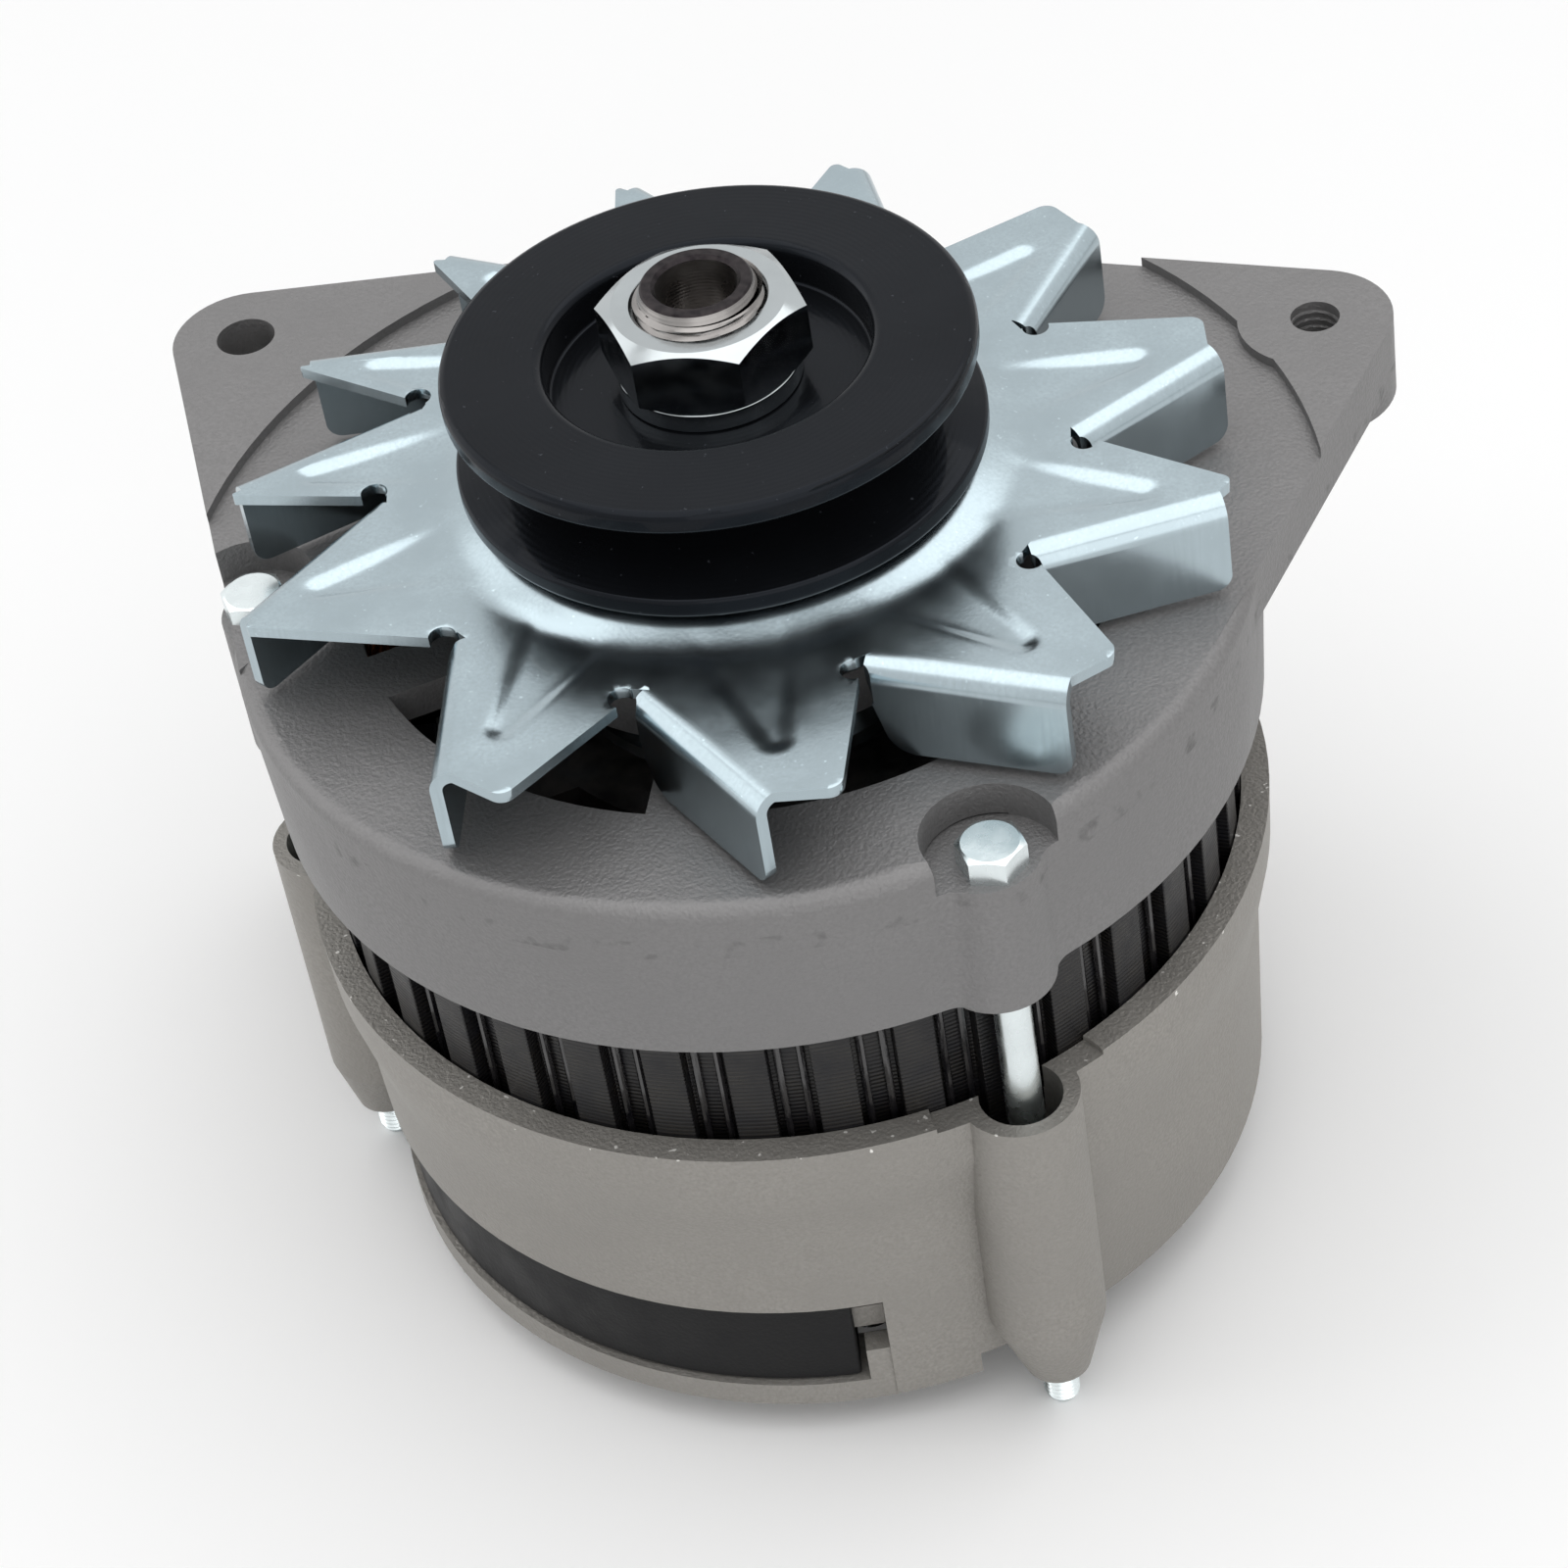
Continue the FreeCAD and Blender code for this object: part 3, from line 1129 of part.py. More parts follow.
def make_rotor():
    make_claw_pole("claw_pole_front", POLE_TOP, True, 0)
    make_claw_pole("claw_pole_rear", COIL_LOW, False, 30)
    ring("rotor_yoke", "(rotor_shaft_diameter / 2 + bearing_fit)", "yoke_radius", COIL_LOW, COIL_TOP)
    bobbin = Piece("field_bobbin")
    inner = "(yoke_radius + bobbin_fit)"
    tube = f"({inner} + bobbin_wall)"
    low = f"({COIL_LOW} + bobbin_fit)"
    high = f"({COIL_TOP} - bobbin_fit)"
    bobbin.turn([
        (inner, low), (BOBBIN_RADIUS, low), (BOBBIN_RADIUS, f"({low} + bobbin_wall)"),
        (tube, f"({low} + bobbin_wall)"), (tube, f"({high} - bobbin_wall)"),
        (BOBBIN_RADIUS, f"({high} - bobbin_wall)"), (BOBBIN_RADIUS, high), (inner, high),
    ])
    coil_low = f"({low} + bobbin_wall + slide_fit)"
    coil_high = f"({high} - bobbin_wall - slide_fit)"
    ring("field_coil", f"({tube} + slide_fit)", COIL_RADIUS, coil_low, coil_high)
    inner = "(rotor_shaft_diameter / 2 + slide_fit)"
    ring("thrust_collar", inner, "(thrust_diameter / 2)", POLE_TOP, BEARING_LOW)
    ring("fan_collar", SLIDE_RADIUS, "(collar_diameter / 2)", BEARING_TOP, FAN_UNDER)


def make_slip_rings():
    piece = Piece("slip_rings")
    half = "(ring_width / 2)"
    inner = "(ring_radius - ring_wall)"
    for middle in (RING_ONE, RING_TWO):
        piece.turn([
            (inner, f"({middle} - {half})"), ("ring_radius", f"({middle} - {half})"),
            ("ring_radius", f"({middle} + {half})"), (inner, f"({middle} + {half})"),
        ])
    bore = "(rear_bearing_bore / 2 + bearing_fit)"
    low = f"({SHAFT_LOW} + bearing_step)"
    ring("slip_ring_core", bore, inner, low, f"({REAR_BEARING_LOW} - bearing_step)")


def make_slip_ring_end_bracket():
    piece = Piece("slip_ring_end_bracket")
    rim_inner = f"({REAR_RADIUS} - rear_rim_wall)"
    core_seat = "(core_radius + core_fit)"
    inner = REAR_INSIDE
    rim_step = f"({REAR_RIM} - rear_rim_depth)"
    piece.turn([
        (rim_inner, REAR_RIM),
        (REAR_RADIUS, REAR_RIM),
        (f"({REAR_RADIUS} - rear_flare_draft)", f"({REAR_RIM} - rear_flare)"),
        (f"({REAR_LOW_RADIUS} + rear_waist_over)", f"({REAR_RIM} - rear_waist)"),
        (REAR_LOW_RADIUS, REAR_LOW),
        (END_RING_RADIUS, REAR_LOW),
        (END_RING_RADIUS, f"({REAR_LOW} - end_ring_height)"),
        (END_RING_BORE, f"({REAR_LOW} - end_ring_height)"),
        (END_RING_BORE, REAR_LOW),
        (inner, REAR_LOW),
        (inner, END_LOW),
        ("rear_boss_bore", END_LOW),
        ("rear_boss_bore", REAR_BEARING_LOW),
        ("(rear_bearing_outer / 2 + bearing_fit)", REAR_BEARING_LOW),
        ("(rear_bearing_outer / 2 + bearing_fit)", REAR_BEARING_TOP),
        ("rear_boss_radius", REAR_BEARING_TOP),
        ("rear_boss_radius", END_TOP),
        (inner, END_TOP),
        (inner, CORE_LOW),
        (core_seat, CORE_LOW),
        (core_seat, rim_step),
        (rim_inner, rim_step),
    ])
    # Bolt bosses over the full height
    tip_top = f"({REAR_LOW} + boss_tip_rise)"
    boss_place = at(f"({BOLT_CIRCLE} - rear_boss_inset)", "bolt_angle")
    boss = piece.pad(circles([boss_place], "rear_bolt_boss"), tip_top, f"({REAR_RIM} - {tip_top})")
    piece.around([boss], BOLT_COUNT)
    # Rear pivot lug
    lug_top = f"({REAR_RIM} - lug_top)"
    lug = ear("pivot_reach", "180", "ear_radius", REAR_LOW_RADIUS)
    piece.pad(lug, f"({lug_top} - lug_thickness)", "lug_thickness")
    # Keep the inside clear of bosses and lug
    piece.cut(circles([("0", "0")], rim_inner), REAR_RIM, "rear_rim_depth")
    piece.cut(circles([("0", "0")], core_seat), REAR_RIM, f"({REAR_RIM} - ({CORE_LOW}))")
    piece.turn_cut([
        ("rear_boss_radius", END_TOP),
        (inner, END_TOP),
        (inner, CORE_LOW),
        ("rear_boss_radius", CORE_LOW),
    ])
    below = f"({REAR_LOW} - boss_tip_drop)"
    piece.turn_cut([
        ("rear_boss_bore", END_LOW),
        (inner, END_LOW),
        (inner, REAR_LOW),
        (END_RING_BORE, REAR_LOW),
        (END_RING_BORE, below),
        ("rear_boss_bore", below),
    ])
    # Side opening and the foot beside it
    opening = "(side_window_start - side_window_sweep)"
    foot = f"({REAR_LOW_RADIUS} - slide_fit)"
    shelf = f"({REAR_LOW_RADIUS} - shelf_inset)"
    piece.cut(
        sector(inner, f"({REAR_RADIUS} + rear_wall)", opening, "side_window_sweep"),
        WINDOW_TOP, f"({WINDOW_TOP} - ({REAR_LOW}))",
    )
    piece.pad(
        sector(f"({foot} - foot_width)", foot, "side_window_start", "foot_sweep"),
        f"({REAR_LOW} - foot_drop)", "(2 * foot_drop)",
    )
    piece.pad(
        sector(END_RING_BORE, shelf, f"({opening} - shelf_overlap)", "(side_window_sweep + shelf_overlap)"),
        f"({REAR_LOW} - shelf_height)", "shelf_height",
    )
    piece.pad(
        sector(inner, shelf, "(side_window_start - post_sweep)", "post_sweep"),
        f"({REAR_LOW} - shelf_height / 2)", "(post_height + shelf_height / 2)",
    )
    # Cones where the bolts come out
    tip = piece.loft([
        (circles([boss_place], "rear_bolt_boss"), tip_top),
        (circles([BOLT_PLACE], "boss_tip"), f"({REAR_LOW} - boss_tip_drop)"),
    ])
    piece.around([tip], BOLT_COUNT)
    hole = piece.cut(
        circles([BOLT_PLACE], "(bolt_diameter / 2 + slide_fit)"),
        REAR_RIM, "(rear_depth + boss_tip_drop)",
    )
    piece.around([hole], BOLT_COUNT)
    piece.cut(circles([PIVOT_PLACE], "(bush_outer / 2)"), lug_top, "lug_thickness")
    # Air inlets and the holes of the rear fittings in the end wall
    opening = sector("inlet_inner", "inlet_outer", "inlet_start", "inlet_sweep")
    inlet = piece.cut(opening, END_TOP, "end_wall")
    piece.around([inlet], INLET_COUNT, INLET_SPAN)
    piece.cut(circles(SINK_SCREWS, "(sink_screw / 2 + bolt_fit)"), END_TOP, "end_wall")
    piece.cut(circles([STUD_PLACE, BLADE_PLACE], "(bush_radius + slide_fit)"), END_TOP, "end_wall")
    piece.cut(circles(REGULATOR_SCREWS, "(regulator_screw / 2 + slide_fit)"), END_TOP, "end_wall")
    # A pocket in the rim at each bolt, in a slightly lower land
    pocket_place = at(f"({BOLT_CIRCLE} - pocket_inset)", "bolt_angle")
    pocket = piece.cut(circles([pocket_place], "rim_pocket"), REAR_RIM, "pocket_depth")
    land = piece.cut(circles([BOLT_PLACE], "rim_land"), REAR_RIM, "rim_step")
    piece.around([pocket, land], BOLT_COUNT)


NEGATIVE_LOW = f"({END_TOP} + sink_stand)"
NEGATIVE_TOP = f"({NEGATIVE_LOW} + sink_thickness)"
POSITIVE_LOW = f"({NEGATIVE_TOP} + sink_spacing)"
POSITIVE_TOP = f"({POSITIVE_LOW} + sink_thickness)"
HOLDER_LOW = f"({END_LOW} - holder_height)"
HOLDER_END = "(holder_start + holder_length)"
REGULATOR_MIDDLE = f"({HOLDER_END} + regulator_length / 2)"
REGULATOR_REACH = "(regulator_width / 2 - regulator_margin)"
REGULATOR_SCREWS = [(REGULATOR_MIDDLE, f"(-{REGULATOR_REACH})"), (REGULATOR_MIDDLE, REGULATOR_REACH)]
# Screws between the diodes, as shares of the step from the middle
SCREW_SHARES = (-1.7, -0.25, 1.7)
SINK_SCREWS = [
    at(f"({SINK_OUTER} - sink_screw_inset)", f"(rectifier_angle + diode_step * {share})")
    for share in SCREW_SHARES
]
STUD_PLACE = at("stud_circle", "stud_angle")
BLADE_PLACE = at("stud_circle", "blade_angle")


def diode_places(shift):
    """Centres of one plate's diodes; shift is a share of the step."""
    steps = [number - 1 + shift for number in range(DIODE_COUNT)]
    circle = f"({SINK_OUTER} - diode_inset)"
    return [at(circle, f"(rectifier_angle + diode_step * {step})") for step in steps]


def make_heat_sink(label, low, shift):
    """A crescent plate with a press-fit diode in each large hole."""
    piece = Piece(label)
    top = f"({low} + sink_thickness)"
    start = "(rectifier_angle - sink_sweep / 2)"
    piece.pad(sector("sink_inner", SINK_OUTER, start, "sink_sweep"), low, "sink_thickness")
    piece.cut(circles(diode_places(shift), "(diode_diameter / 2 + slide_fit)"), top, "sink_thickness")
    piece.cut(circles(SINK_SCREWS, "(sink_screw / 2 + bolt_fit)"), top, "sink_thickness")
    return piece


def make_diodes(label, low, shift):
    piece = Piece(label)
    places = diode_places(shift)
    start = f"({low} - diode_height + sink_thickness)"
    piece.pad(circles(places, "(diode_diameter / 2)"), start, "diode_height")
    return piece


def make_rectifier():
    positive = make_heat_sink("positive_heat_sink", POSITIVE_LOW, 0)
    positive.cut(circles([STUD_PLACE], "(stud_shank / 2 + slide_fit)"), POSITIVE_TOP, "sink_thickness")
    negative = make_heat_sink("negative_heat_sink", NEGATIVE_LOW, -0.5)
    negative.cut(circles([STUD_PLACE], "bush_radius"), NEGATIVE_TOP, "sink_thickness")
    make_diodes("positive_diodes", POSITIVE_LOW, 0)
    make_diodes("negative_diodes", NEGATIVE_LOW, -0.5)
    spacers = Piece("rectifier_spacers")
    for low, high in ((END_TOP, NEGATIVE_LOW), (NEGATIVE_TOP, POSITIVE_LOW)):
        spacers.pad(circles(SINK_SCREWS, "spacer_radius"), low, f"({high} - ({low}))")
    passage = circles(SINK_SCREWS, "(sink_screw / 2 + bolt_fit)")
    spacers.cut(passage, POSITIVE_LOW, f"({POSITIVE_LOW} - ({END_TOP}))")
    screws = Piece("rectifier_screws")
    length = f"({POSITIVE_TOP} + sink_screw_proud - ({END_LOW}))"
    screws.pad(circles(SINK_SCREWS, "(sink_screw / 2)"), END_LOW, length)
    heads = circles(SINK_SCREWS, "(sink_screw * head_ratio)")
    screws.pad(heads, f"({END_LOW} - head_height)", "head_height")


def make_output_terminal():
    stud = Piece("output_stud")
    flange = f"({END_LOW} - bush_flange)"
    free = f"({flange} - stud_nut_height)"
    stud.pad(circles([STUD_PLACE], "(stud_diameter / 2)"), "(-stud_end)", f"({free} + stud_end)")
    stud.pad(circles([STUD_PLACE], "(stud_shank / 2)"), free, f"({POSITIVE_TOP} - {free})")
    stud.pad(hexagon("stud_nut", *STUD_PLACE), POSITIVE_TOP, "stud_head")
    passage = circles([STUD_PLACE], "(stud_shank / 2 + slide_fit)")
    bush = Piece("output_bush")
    height = f"({POSITIVE_LOW} - ({flange}))"
    bush.pad(circles([STUD_PLACE], "bush_radius"), flange, height)
    bush.pad(circles([STUD_PLACE], "(bush_radius + bush_brim)"), flange, "bush_flange")
    bush.cut(passage, POSITIVE_LOW, height)
    nut = Piece("output_nut")
    nut.pad(hexagon("stud_nut", *STUD_PLACE), free, "stud_nut_height")
    nut.cut(passage, flange, "stud_nut_height")


def blade_outline(place, angle):
    """The plan of a push-on blade, its width across the given direction."""
    def draw(sketch):
        centre = FreeCAD.Vector(value(place[0]), value(place[1]), 0)
        out = polar(value("blade_thickness") / 2, value(angle))
        side = polar(value("blade_width") / 2, value(angle) + 90)
        corners = [centre + out + side, centre - out + side, centre - out - side, centre + out - side]
        for index in range(4):
            sketch.addGeometry(Part.LineSegment(corners[index], corners[(index + 1) % 4]))
    return draw


def make_phase_terminal():
    blade = Piece("phase_terminal")
    top = f"({NEGATIVE_LOW} - blade_gap)"
    tip = f"({HOLDER_LOW} + blade_short)"
    outline = blade_outline(BLADE_PLACE, "blade_angle")
    blade.pad(outline, tip, f"({top} - ({tip}))")
    block = Piece("phase_terminal_block")
    low = f"({END_LOW} - block_height)"
    high = f"({END_TOP} + block_rise)"
    block.pad(circles([BLADE_PLACE], "bush_radius"), low, f"({high} - ({low}))")
    block.pad(circles([BLADE_PLACE], "(bush_radius + bush_brim)"), low, "block_height")
    block.cut(outline, high, f"({high} - ({low}))")


def make_shield():
    """The moulded strip that closes the side opening behind the rectifier."""
    piece = Piece("rectifier_shield")
    start = "(side_window_start - side_window_sweep + cover_side_gap)"
    sweep = "(side_window_sweep - post_sweep - 2 * cover_side_gap)"
    low = f"({REAR_LOW} + cover_gap)"
    high = f"({WINDOW_TOP} - cover_gap)"
    inner = f"({REAR_INSIDE} + cover_gap)"
    outer = f"({inner} + cover_wall)"
    piece.pad(sector(inner, outer, start, sweep), low, f"({high} - ({low}))")
    piece.pad(sector(f"({END_RING_BORE} - cover_wall)", outer, start, sweep), low, "cover_lip")


def make_regulator():
    """A moulded block with two brush guides, and the regulator behind it."""
    half = "(holder_width / 2)"
    holder = Piece("brush_holder")
    holder.pad(box_outline("holder_start", HOLDER_END, f"(-{half})", half), HOLDER_LOW, "holder_height")
    guide = "(brush_width / 2 + brush_fit)"
    for middle in (RING_ONE, RING_TWO):
        holder.cut(
            box_outline("holder_start", f"({HOLDER_END} - guide_end)", f"(-{guide})", guide),
            f"({middle} + brush_height / 2 + brush_fit)", "(brush_height + 2 * brush_fit)",
        )
    regulator = Piece("regulator")
    wide = "(regulator_width / 2)"
    far = f"({HOLDER_END} + regulator_length)"
    seat = f"({HOLDER_LOW} + regulator_sink)"
    head = "(regulator_screw * head_ratio"
    regulator.pad(box_outline(HOLDER_END, far, f"(-{wide})", wide), HOLDER_LOW, "holder_height")
    regulator.cut(circles(REGULATOR_SCREWS, "(regulator_screw / 2 + bolt_fit)"), END_LOW, "holder_height")
    regulator.cut(circles(REGULATOR_SCREWS, f"{head} + bolt_fit)"), seat, "regulator_sink")
    fixing = Piece("regulator_screws")
    length = f"({END_TOP} - ({seat}))"
    fixing.pad(circles(REGULATOR_SCREWS, "(regulator_screw / 2)"), seat, length)
    fixing.pad(circles(REGULATOR_SCREWS, f"{head})"), f"({seat} - regulator_head)", "regulator_head")


def make_brush(label, middle):
    piece = Piece(label)
    half = "(brush_width / 2)"
    start = "(ring_radius - brush_worn)"
    piece.pad(
        box_outline(start, f"({start} + brush_length)", f"(-{half})", half),
        f"({middle} - brush_height / 2)", "brush_height",
    )
    piece.cut(
        circles([("0", "0")], "(ring_radius + ball_clearance)"),
        f"({middle} + brush_height / 2)", "brush_height",
    )


def make_spring(label, middle):
    """A helical spring between a brush and the end of its guide."""
    wire = value("spring_wire")
    start = value("ring_radius - brush_worn + brush_length + spring_gap") + wire
    end = value(f"{HOLDER_END} - guide_end - spring_gap") - wire
    coil = value("brush_height / 2 - spring_wire - spring_gap")
    helix = Part.makeHelix((end - start) / value("spring_turns"), end - start, coil)
    profile = Part.Wire(Part.makeCircle(wire, FreeCAD.Vector(coil, 0, 0), FreeCAD.Vector(0, 1, 0)))
    feature = doc.addObject("Part::Feature", label)
    feature.Label = label
    feature.Shape = Part.Wire(helix).makePipeShell([profile], True, True)
    turn = FreeCAD.Rotation(FreeCAD.Vector(0, 1, 0), 90)
    feature.Placement = FreeCAD.Placement(FreeCAD.Vector(start, 0, value(middle)), turn)


def make_pivot_bush():
    piece = Piece("pivot_bush")
    lug_top = f"({REAR_RIM} - lug_top)"
    top = f"({lug_top} + (bush_length - lug_thickness) / 2)"
    piece.pad(circles([PIVOT_PLACE], "(bush_outer / 2 - slide_fit)"), f"({top} - bush_length)", "bush_length")
    piece.cut(circles([PIVOT_PLACE], "(pivot_bore / 2)"), top, "bush_length")


def build_all():
    make_pulley()
    make_nut()
    make_washer()
    make_shaft()
    make_key()
    make_fan()
    bearing("front", "shaft_diameter", BEARING_TOP)
    bearing("rear", "rear_bearing_bore", REAR_BEARING_TOP)
    make_drive_end_bracket()
    make_retainer()
    make_retainer_screws()
    make_through_bolts()
    make_stator_core()
    make_stator_windings()
    make_rotor()
    make_slip_rings()
    make_slip_ring_end_bracket()
    make_rectifier()
    make_output_terminal()
    make_phase_terminal()
    make_shield()
    make_regulator()
    make_brush("upper_brush", RING_ONE)
    make_brush("lower_brush", RING_TWO)
    make_spring("upper_brush_spring", RING_ONE)
    make_spring("lower_brush_spring", RING_TWO)
    make_pivot_bush()


def export_all():
    doc.recompute()
    for item in doc.Objects:
        if any(word in item.State for word in ("Invalid", "Error")):
            raise ValueError(f"{item.Name} failed: {item.State}")
    os.makedirs("parts", exist_ok=True)
    for item in doc.Objects:
        wanted = item.TypeId in ("PartDesign::Body", "Part::Feature")
        if not wanted:
            continue
        if item.Shape.isNull() or not item.Shape.isValid():
            raise ValueError(f"{item.Label} has no valid shape")
        item.Shape.exportStep(f"parts/{item.Label}.step")
        print(item.Label, len(item.Shape.Solids), round(item.Shape.Volume, 1))


build_all()
export_all()
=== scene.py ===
"""Looks of a belt-driven alternator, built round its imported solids.

Every piece is in the solids' own frame, in metres: the origin is on the shaft
axis at the middle of the belt groove, and +Z points out of the pulley.
"""

import math

import bmesh
import bpy
from bpy.props import FloatProperty, FloatVectorProperty, IntProperty, PointerProperty
from mathutils import Matrix, Vector
from mathutils.geometry import delaunay_2d_cdt
from mathutils.kdtree import KDTree


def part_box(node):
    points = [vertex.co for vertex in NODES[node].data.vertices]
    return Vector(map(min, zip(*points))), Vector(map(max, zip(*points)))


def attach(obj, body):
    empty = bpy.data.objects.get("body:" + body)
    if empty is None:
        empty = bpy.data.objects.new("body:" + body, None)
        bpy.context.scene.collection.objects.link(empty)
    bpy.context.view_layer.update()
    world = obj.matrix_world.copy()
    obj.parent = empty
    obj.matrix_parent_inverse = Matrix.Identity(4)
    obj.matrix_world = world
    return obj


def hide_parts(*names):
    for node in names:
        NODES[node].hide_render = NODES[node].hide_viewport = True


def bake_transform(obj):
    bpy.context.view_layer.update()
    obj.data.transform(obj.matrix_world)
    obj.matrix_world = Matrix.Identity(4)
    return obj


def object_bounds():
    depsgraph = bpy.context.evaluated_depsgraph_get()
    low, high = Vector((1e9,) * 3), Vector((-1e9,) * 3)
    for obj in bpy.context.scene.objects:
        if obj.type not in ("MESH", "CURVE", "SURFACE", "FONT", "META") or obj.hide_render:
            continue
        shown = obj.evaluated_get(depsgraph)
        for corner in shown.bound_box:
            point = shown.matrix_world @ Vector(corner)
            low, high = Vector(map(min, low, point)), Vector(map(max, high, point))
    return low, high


bl_info = {
    "name": "Alternator looks",
    "version": (1, 0, 0),
    "blender": (4, 5, 0),
    "location": "View3D > Sidebar > Alternator",
    "description": "Castings, fan, pulley, stator and fittings of a belt-driven alternator",
    "category": "Object",
}

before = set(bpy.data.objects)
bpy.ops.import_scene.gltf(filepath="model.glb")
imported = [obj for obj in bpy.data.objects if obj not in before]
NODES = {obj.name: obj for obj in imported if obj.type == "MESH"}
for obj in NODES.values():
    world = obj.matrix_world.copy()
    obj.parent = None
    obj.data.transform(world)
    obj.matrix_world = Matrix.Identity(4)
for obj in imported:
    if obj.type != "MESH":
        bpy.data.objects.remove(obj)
SOLID_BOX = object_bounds()
MM = 0.001
FULL_TURN = 2 * math.pi
# Radius in millimetres at which a turned end counts as closed
CLOSED = 0.01


def hex_colour(text):
    """An sRGB hex value as the linear colour that the shaders take."""
    parts = [int(text[start:start + 2], 16) / 255 for start in (1, 3, 5)]
    bent = [part / 12.92 if part <= 0.04045 else ((part + 0.055) / 1.055) ** 2.4 for part in parts]
    return (*bent, 1.0)


def colour_setting(name, description, text):
    """A colour whose default is an sRGB hex value."""
    return FloatVectorProperty(
        name=name, description=description, default=hex_colour(text), size=4, min=0, max=1, subtype="COLOR",
    )


def length_setting(name, description, millimetres):
    """A length that is given here in millimetres and kept in metres."""
    return FloatProperty(
        name=name, description=description, default=millimetres * MM, min=0, unit="LENGTH", precision=5,
    )


class CastingSettings(bpy.types.PropertyGroup):
    front_colour: colour_setting("Front casting", "Drive-end bracket", "#807F7F")
    rear_colour: colour_setting("Rear casting", "Slip-ring-end bracket", "#96938E")
    edge_radius: length_setting("Cast edge", "Rounding of the castings' edges", 0.7)
    thread_pitch: length_setting("Ear thread", "Pitch of the thread in the adjusting ear", 1.25)


class DriveSettings(bpy.types.PropertyGroup):
    sheet_colour: colour_setting("Fan sheet", "Bright zinc on the fan", "#A9B7BD")
    sheet_edge: length_setting("Sheet edge", "Rounding of the fan's cut edges", 0.22)
    panel_depth: length_setting("Panel depth", "Depth of the panel pressed into each blade", 0.6)
    pulley_colour: colour_setting("Pulley", "Black enamel on the pulley", "#0E0F11")
    pulley_edge: length_setting("Pulley edge", "Rounding of the pulley's edges", 0.5)
    thread_pitch: length_setting("Shaft thread", "Pitch of the shaft's thread", 1.5)


class HardwareSettings(bpy.types.PropertyGroup):
    zinc_colour: colour_setting("Bright zinc", "Nut, washer and collar", "#B6BCBE")
    # Lighter than the nut's zinc: part of this lightness is a painted highlight, standing in for the bright
    # glint of the overhead light on the bolt heads
    bolt_colour_with_painted_highlight: colour_setting("Bolt zinc with painted highlight", "Through bolts", "#E2EAEB")
    steel_colour: colour_setting("Turned steel", "Shaft and its key", "#8E8B89")
    bolt_pitch: length_setting("Bolt thread", "Pitch of the through bolts' thread", 0.8)


class StatorSettings(bpy.types.PropertyGroup):
    varnish_colour: colour_setting("Varnish", "Black varnish on the laminated core", "#0D0D11")
    # Drawn coarser than the real 0.5 mm, which is too fine to show
    sheet_pitch: length_setting("Lamination", "Thickness of one sheet of the core", 0.7)
    copper_colour: colour_setting("Copper", "Enamelled wire", "#8C4A24")
    bundle_radius: length_setting("Bundle", "Radius of a wire bundle in the winding heads", 1.7)
    bundles: IntProperty(
        name="Bundles", description="Wire bundles in each winding head", default=36, min=6, max=72,
    )


class ElectricSettings(bpy.types.PropertyGroup):
    moulding_colour: colour_setting("Black moulding", "Shield, regulator and brush holder", "#101011")
    phenolic_colour: colour_setting("Brown moulding", "Insulating bushes and spacers", "#4A3526")
    moulded_edge: length_setting("Moulded edge", "Rounding of the mouldings' edges", 0.5)


class StudioSettings(bpy.types.PropertyGroup):
    camera_place: FloatVectorProperty(
        name="Camera", description="Place of the camera", default=(0.32272, -0.32393, 0.34549),
        size=3, unit="LENGTH",
    )
    camera_target: FloatVectorProperty(
        name="Target", description="Point on the shaft that the camera looks at",
        default=(0.0001, 0.0001, -0.06928), size=3, unit="LENGTH",
    )
    camera_roll: FloatProperty(
        name="Roll", description="Lean of the camera about its view", default=math.radians(-9.885),
        subtype="ANGLE",
    )
    camera_lens: FloatProperty(name="Lens", description="Focal length in millimetres", default=101.25, min=20)
    floor_colour: colour_setting("Floor", "Pale studio floor", "#FBFBFB")


def add(tree, kind, inputs=None, **settings):
    """Adds one node, sets its options, and fills or links its inputs."""
    node = tree.nodes.new(kind)
    for name, value in settings.items():
        setattr(node, name, value)
    for name, value in (inputs or {}).items():
        if isinstance(value, bpy.types.NodeSocket):
            tree.links.new(value, node.inputs[name])
        else:
            node.inputs[name].default_value = value
    return node


def new_finish(name, metallic, roughness, **sockets):
    """A material whose constant values sit on the shader's own sockets."""
    finish = bpy.data.materials.new(name)
    finish.use_nodes = True
    tree = finish.node_tree
    shader = tree.nodes["Principled BSDF"]
    shader.inputs["Metallic"].default_value = metallic
    shader.inputs["Roughness"].default_value = roughness
    for socket, value in sockets.items():
        shader.inputs[socket.replace("_", " ")].default_value = value
    place = add(tree, "ShaderNodeTexCoord").outputs["Object"]
    return finish, tree, shader, place


def per_metre(millimetres):
    """The scale of a noise whose grains are about this many millimetres."""
    return 1 / (millimetres * MM)


def wave_scale(millimetres):
    """The scale of a wave texture that repeats every so many millimetres.

    At a scale of 1 the texture runs through 20 radians in each metre."""
    return FULL_TURN / (20 * millimetres * MM)


def shade(colour, factor):
    """The same colour, darker or lighter."""
    return (*[min(1.0, part * factor) for part in colour[:3]], 1.0)


# Places of a mix node's two colour inputs and of its colour result
FIRST, SECOND, MIXED = 6, 7, 2


def grained(tree, place, millimetres, low, high, detail=4.0):
    """Noise of one grain size, stretched so that low to high fills 0 to 1."""
    inputs = {"Vector": place, "Scale": per_metre(millimetres), "Detail": detail}
    noise = add(tree, "ShaderNodeTexNoise", inputs)
    limits = {"Value": noise.outputs["Fac"], "From Min": low, "From Max": high}
    return add(tree, "ShaderNodeMapRange", limits).outputs["Result"]


def blended(tree, factor, first, second):
    """The first colour where the factor is 0 and the second where it is 1."""
    inputs = {0: factor, FIRST: first, SECOND: second}
    return add(tree, "ShaderNodeMix", inputs, data_type="RGBA").outputs[MIXED]


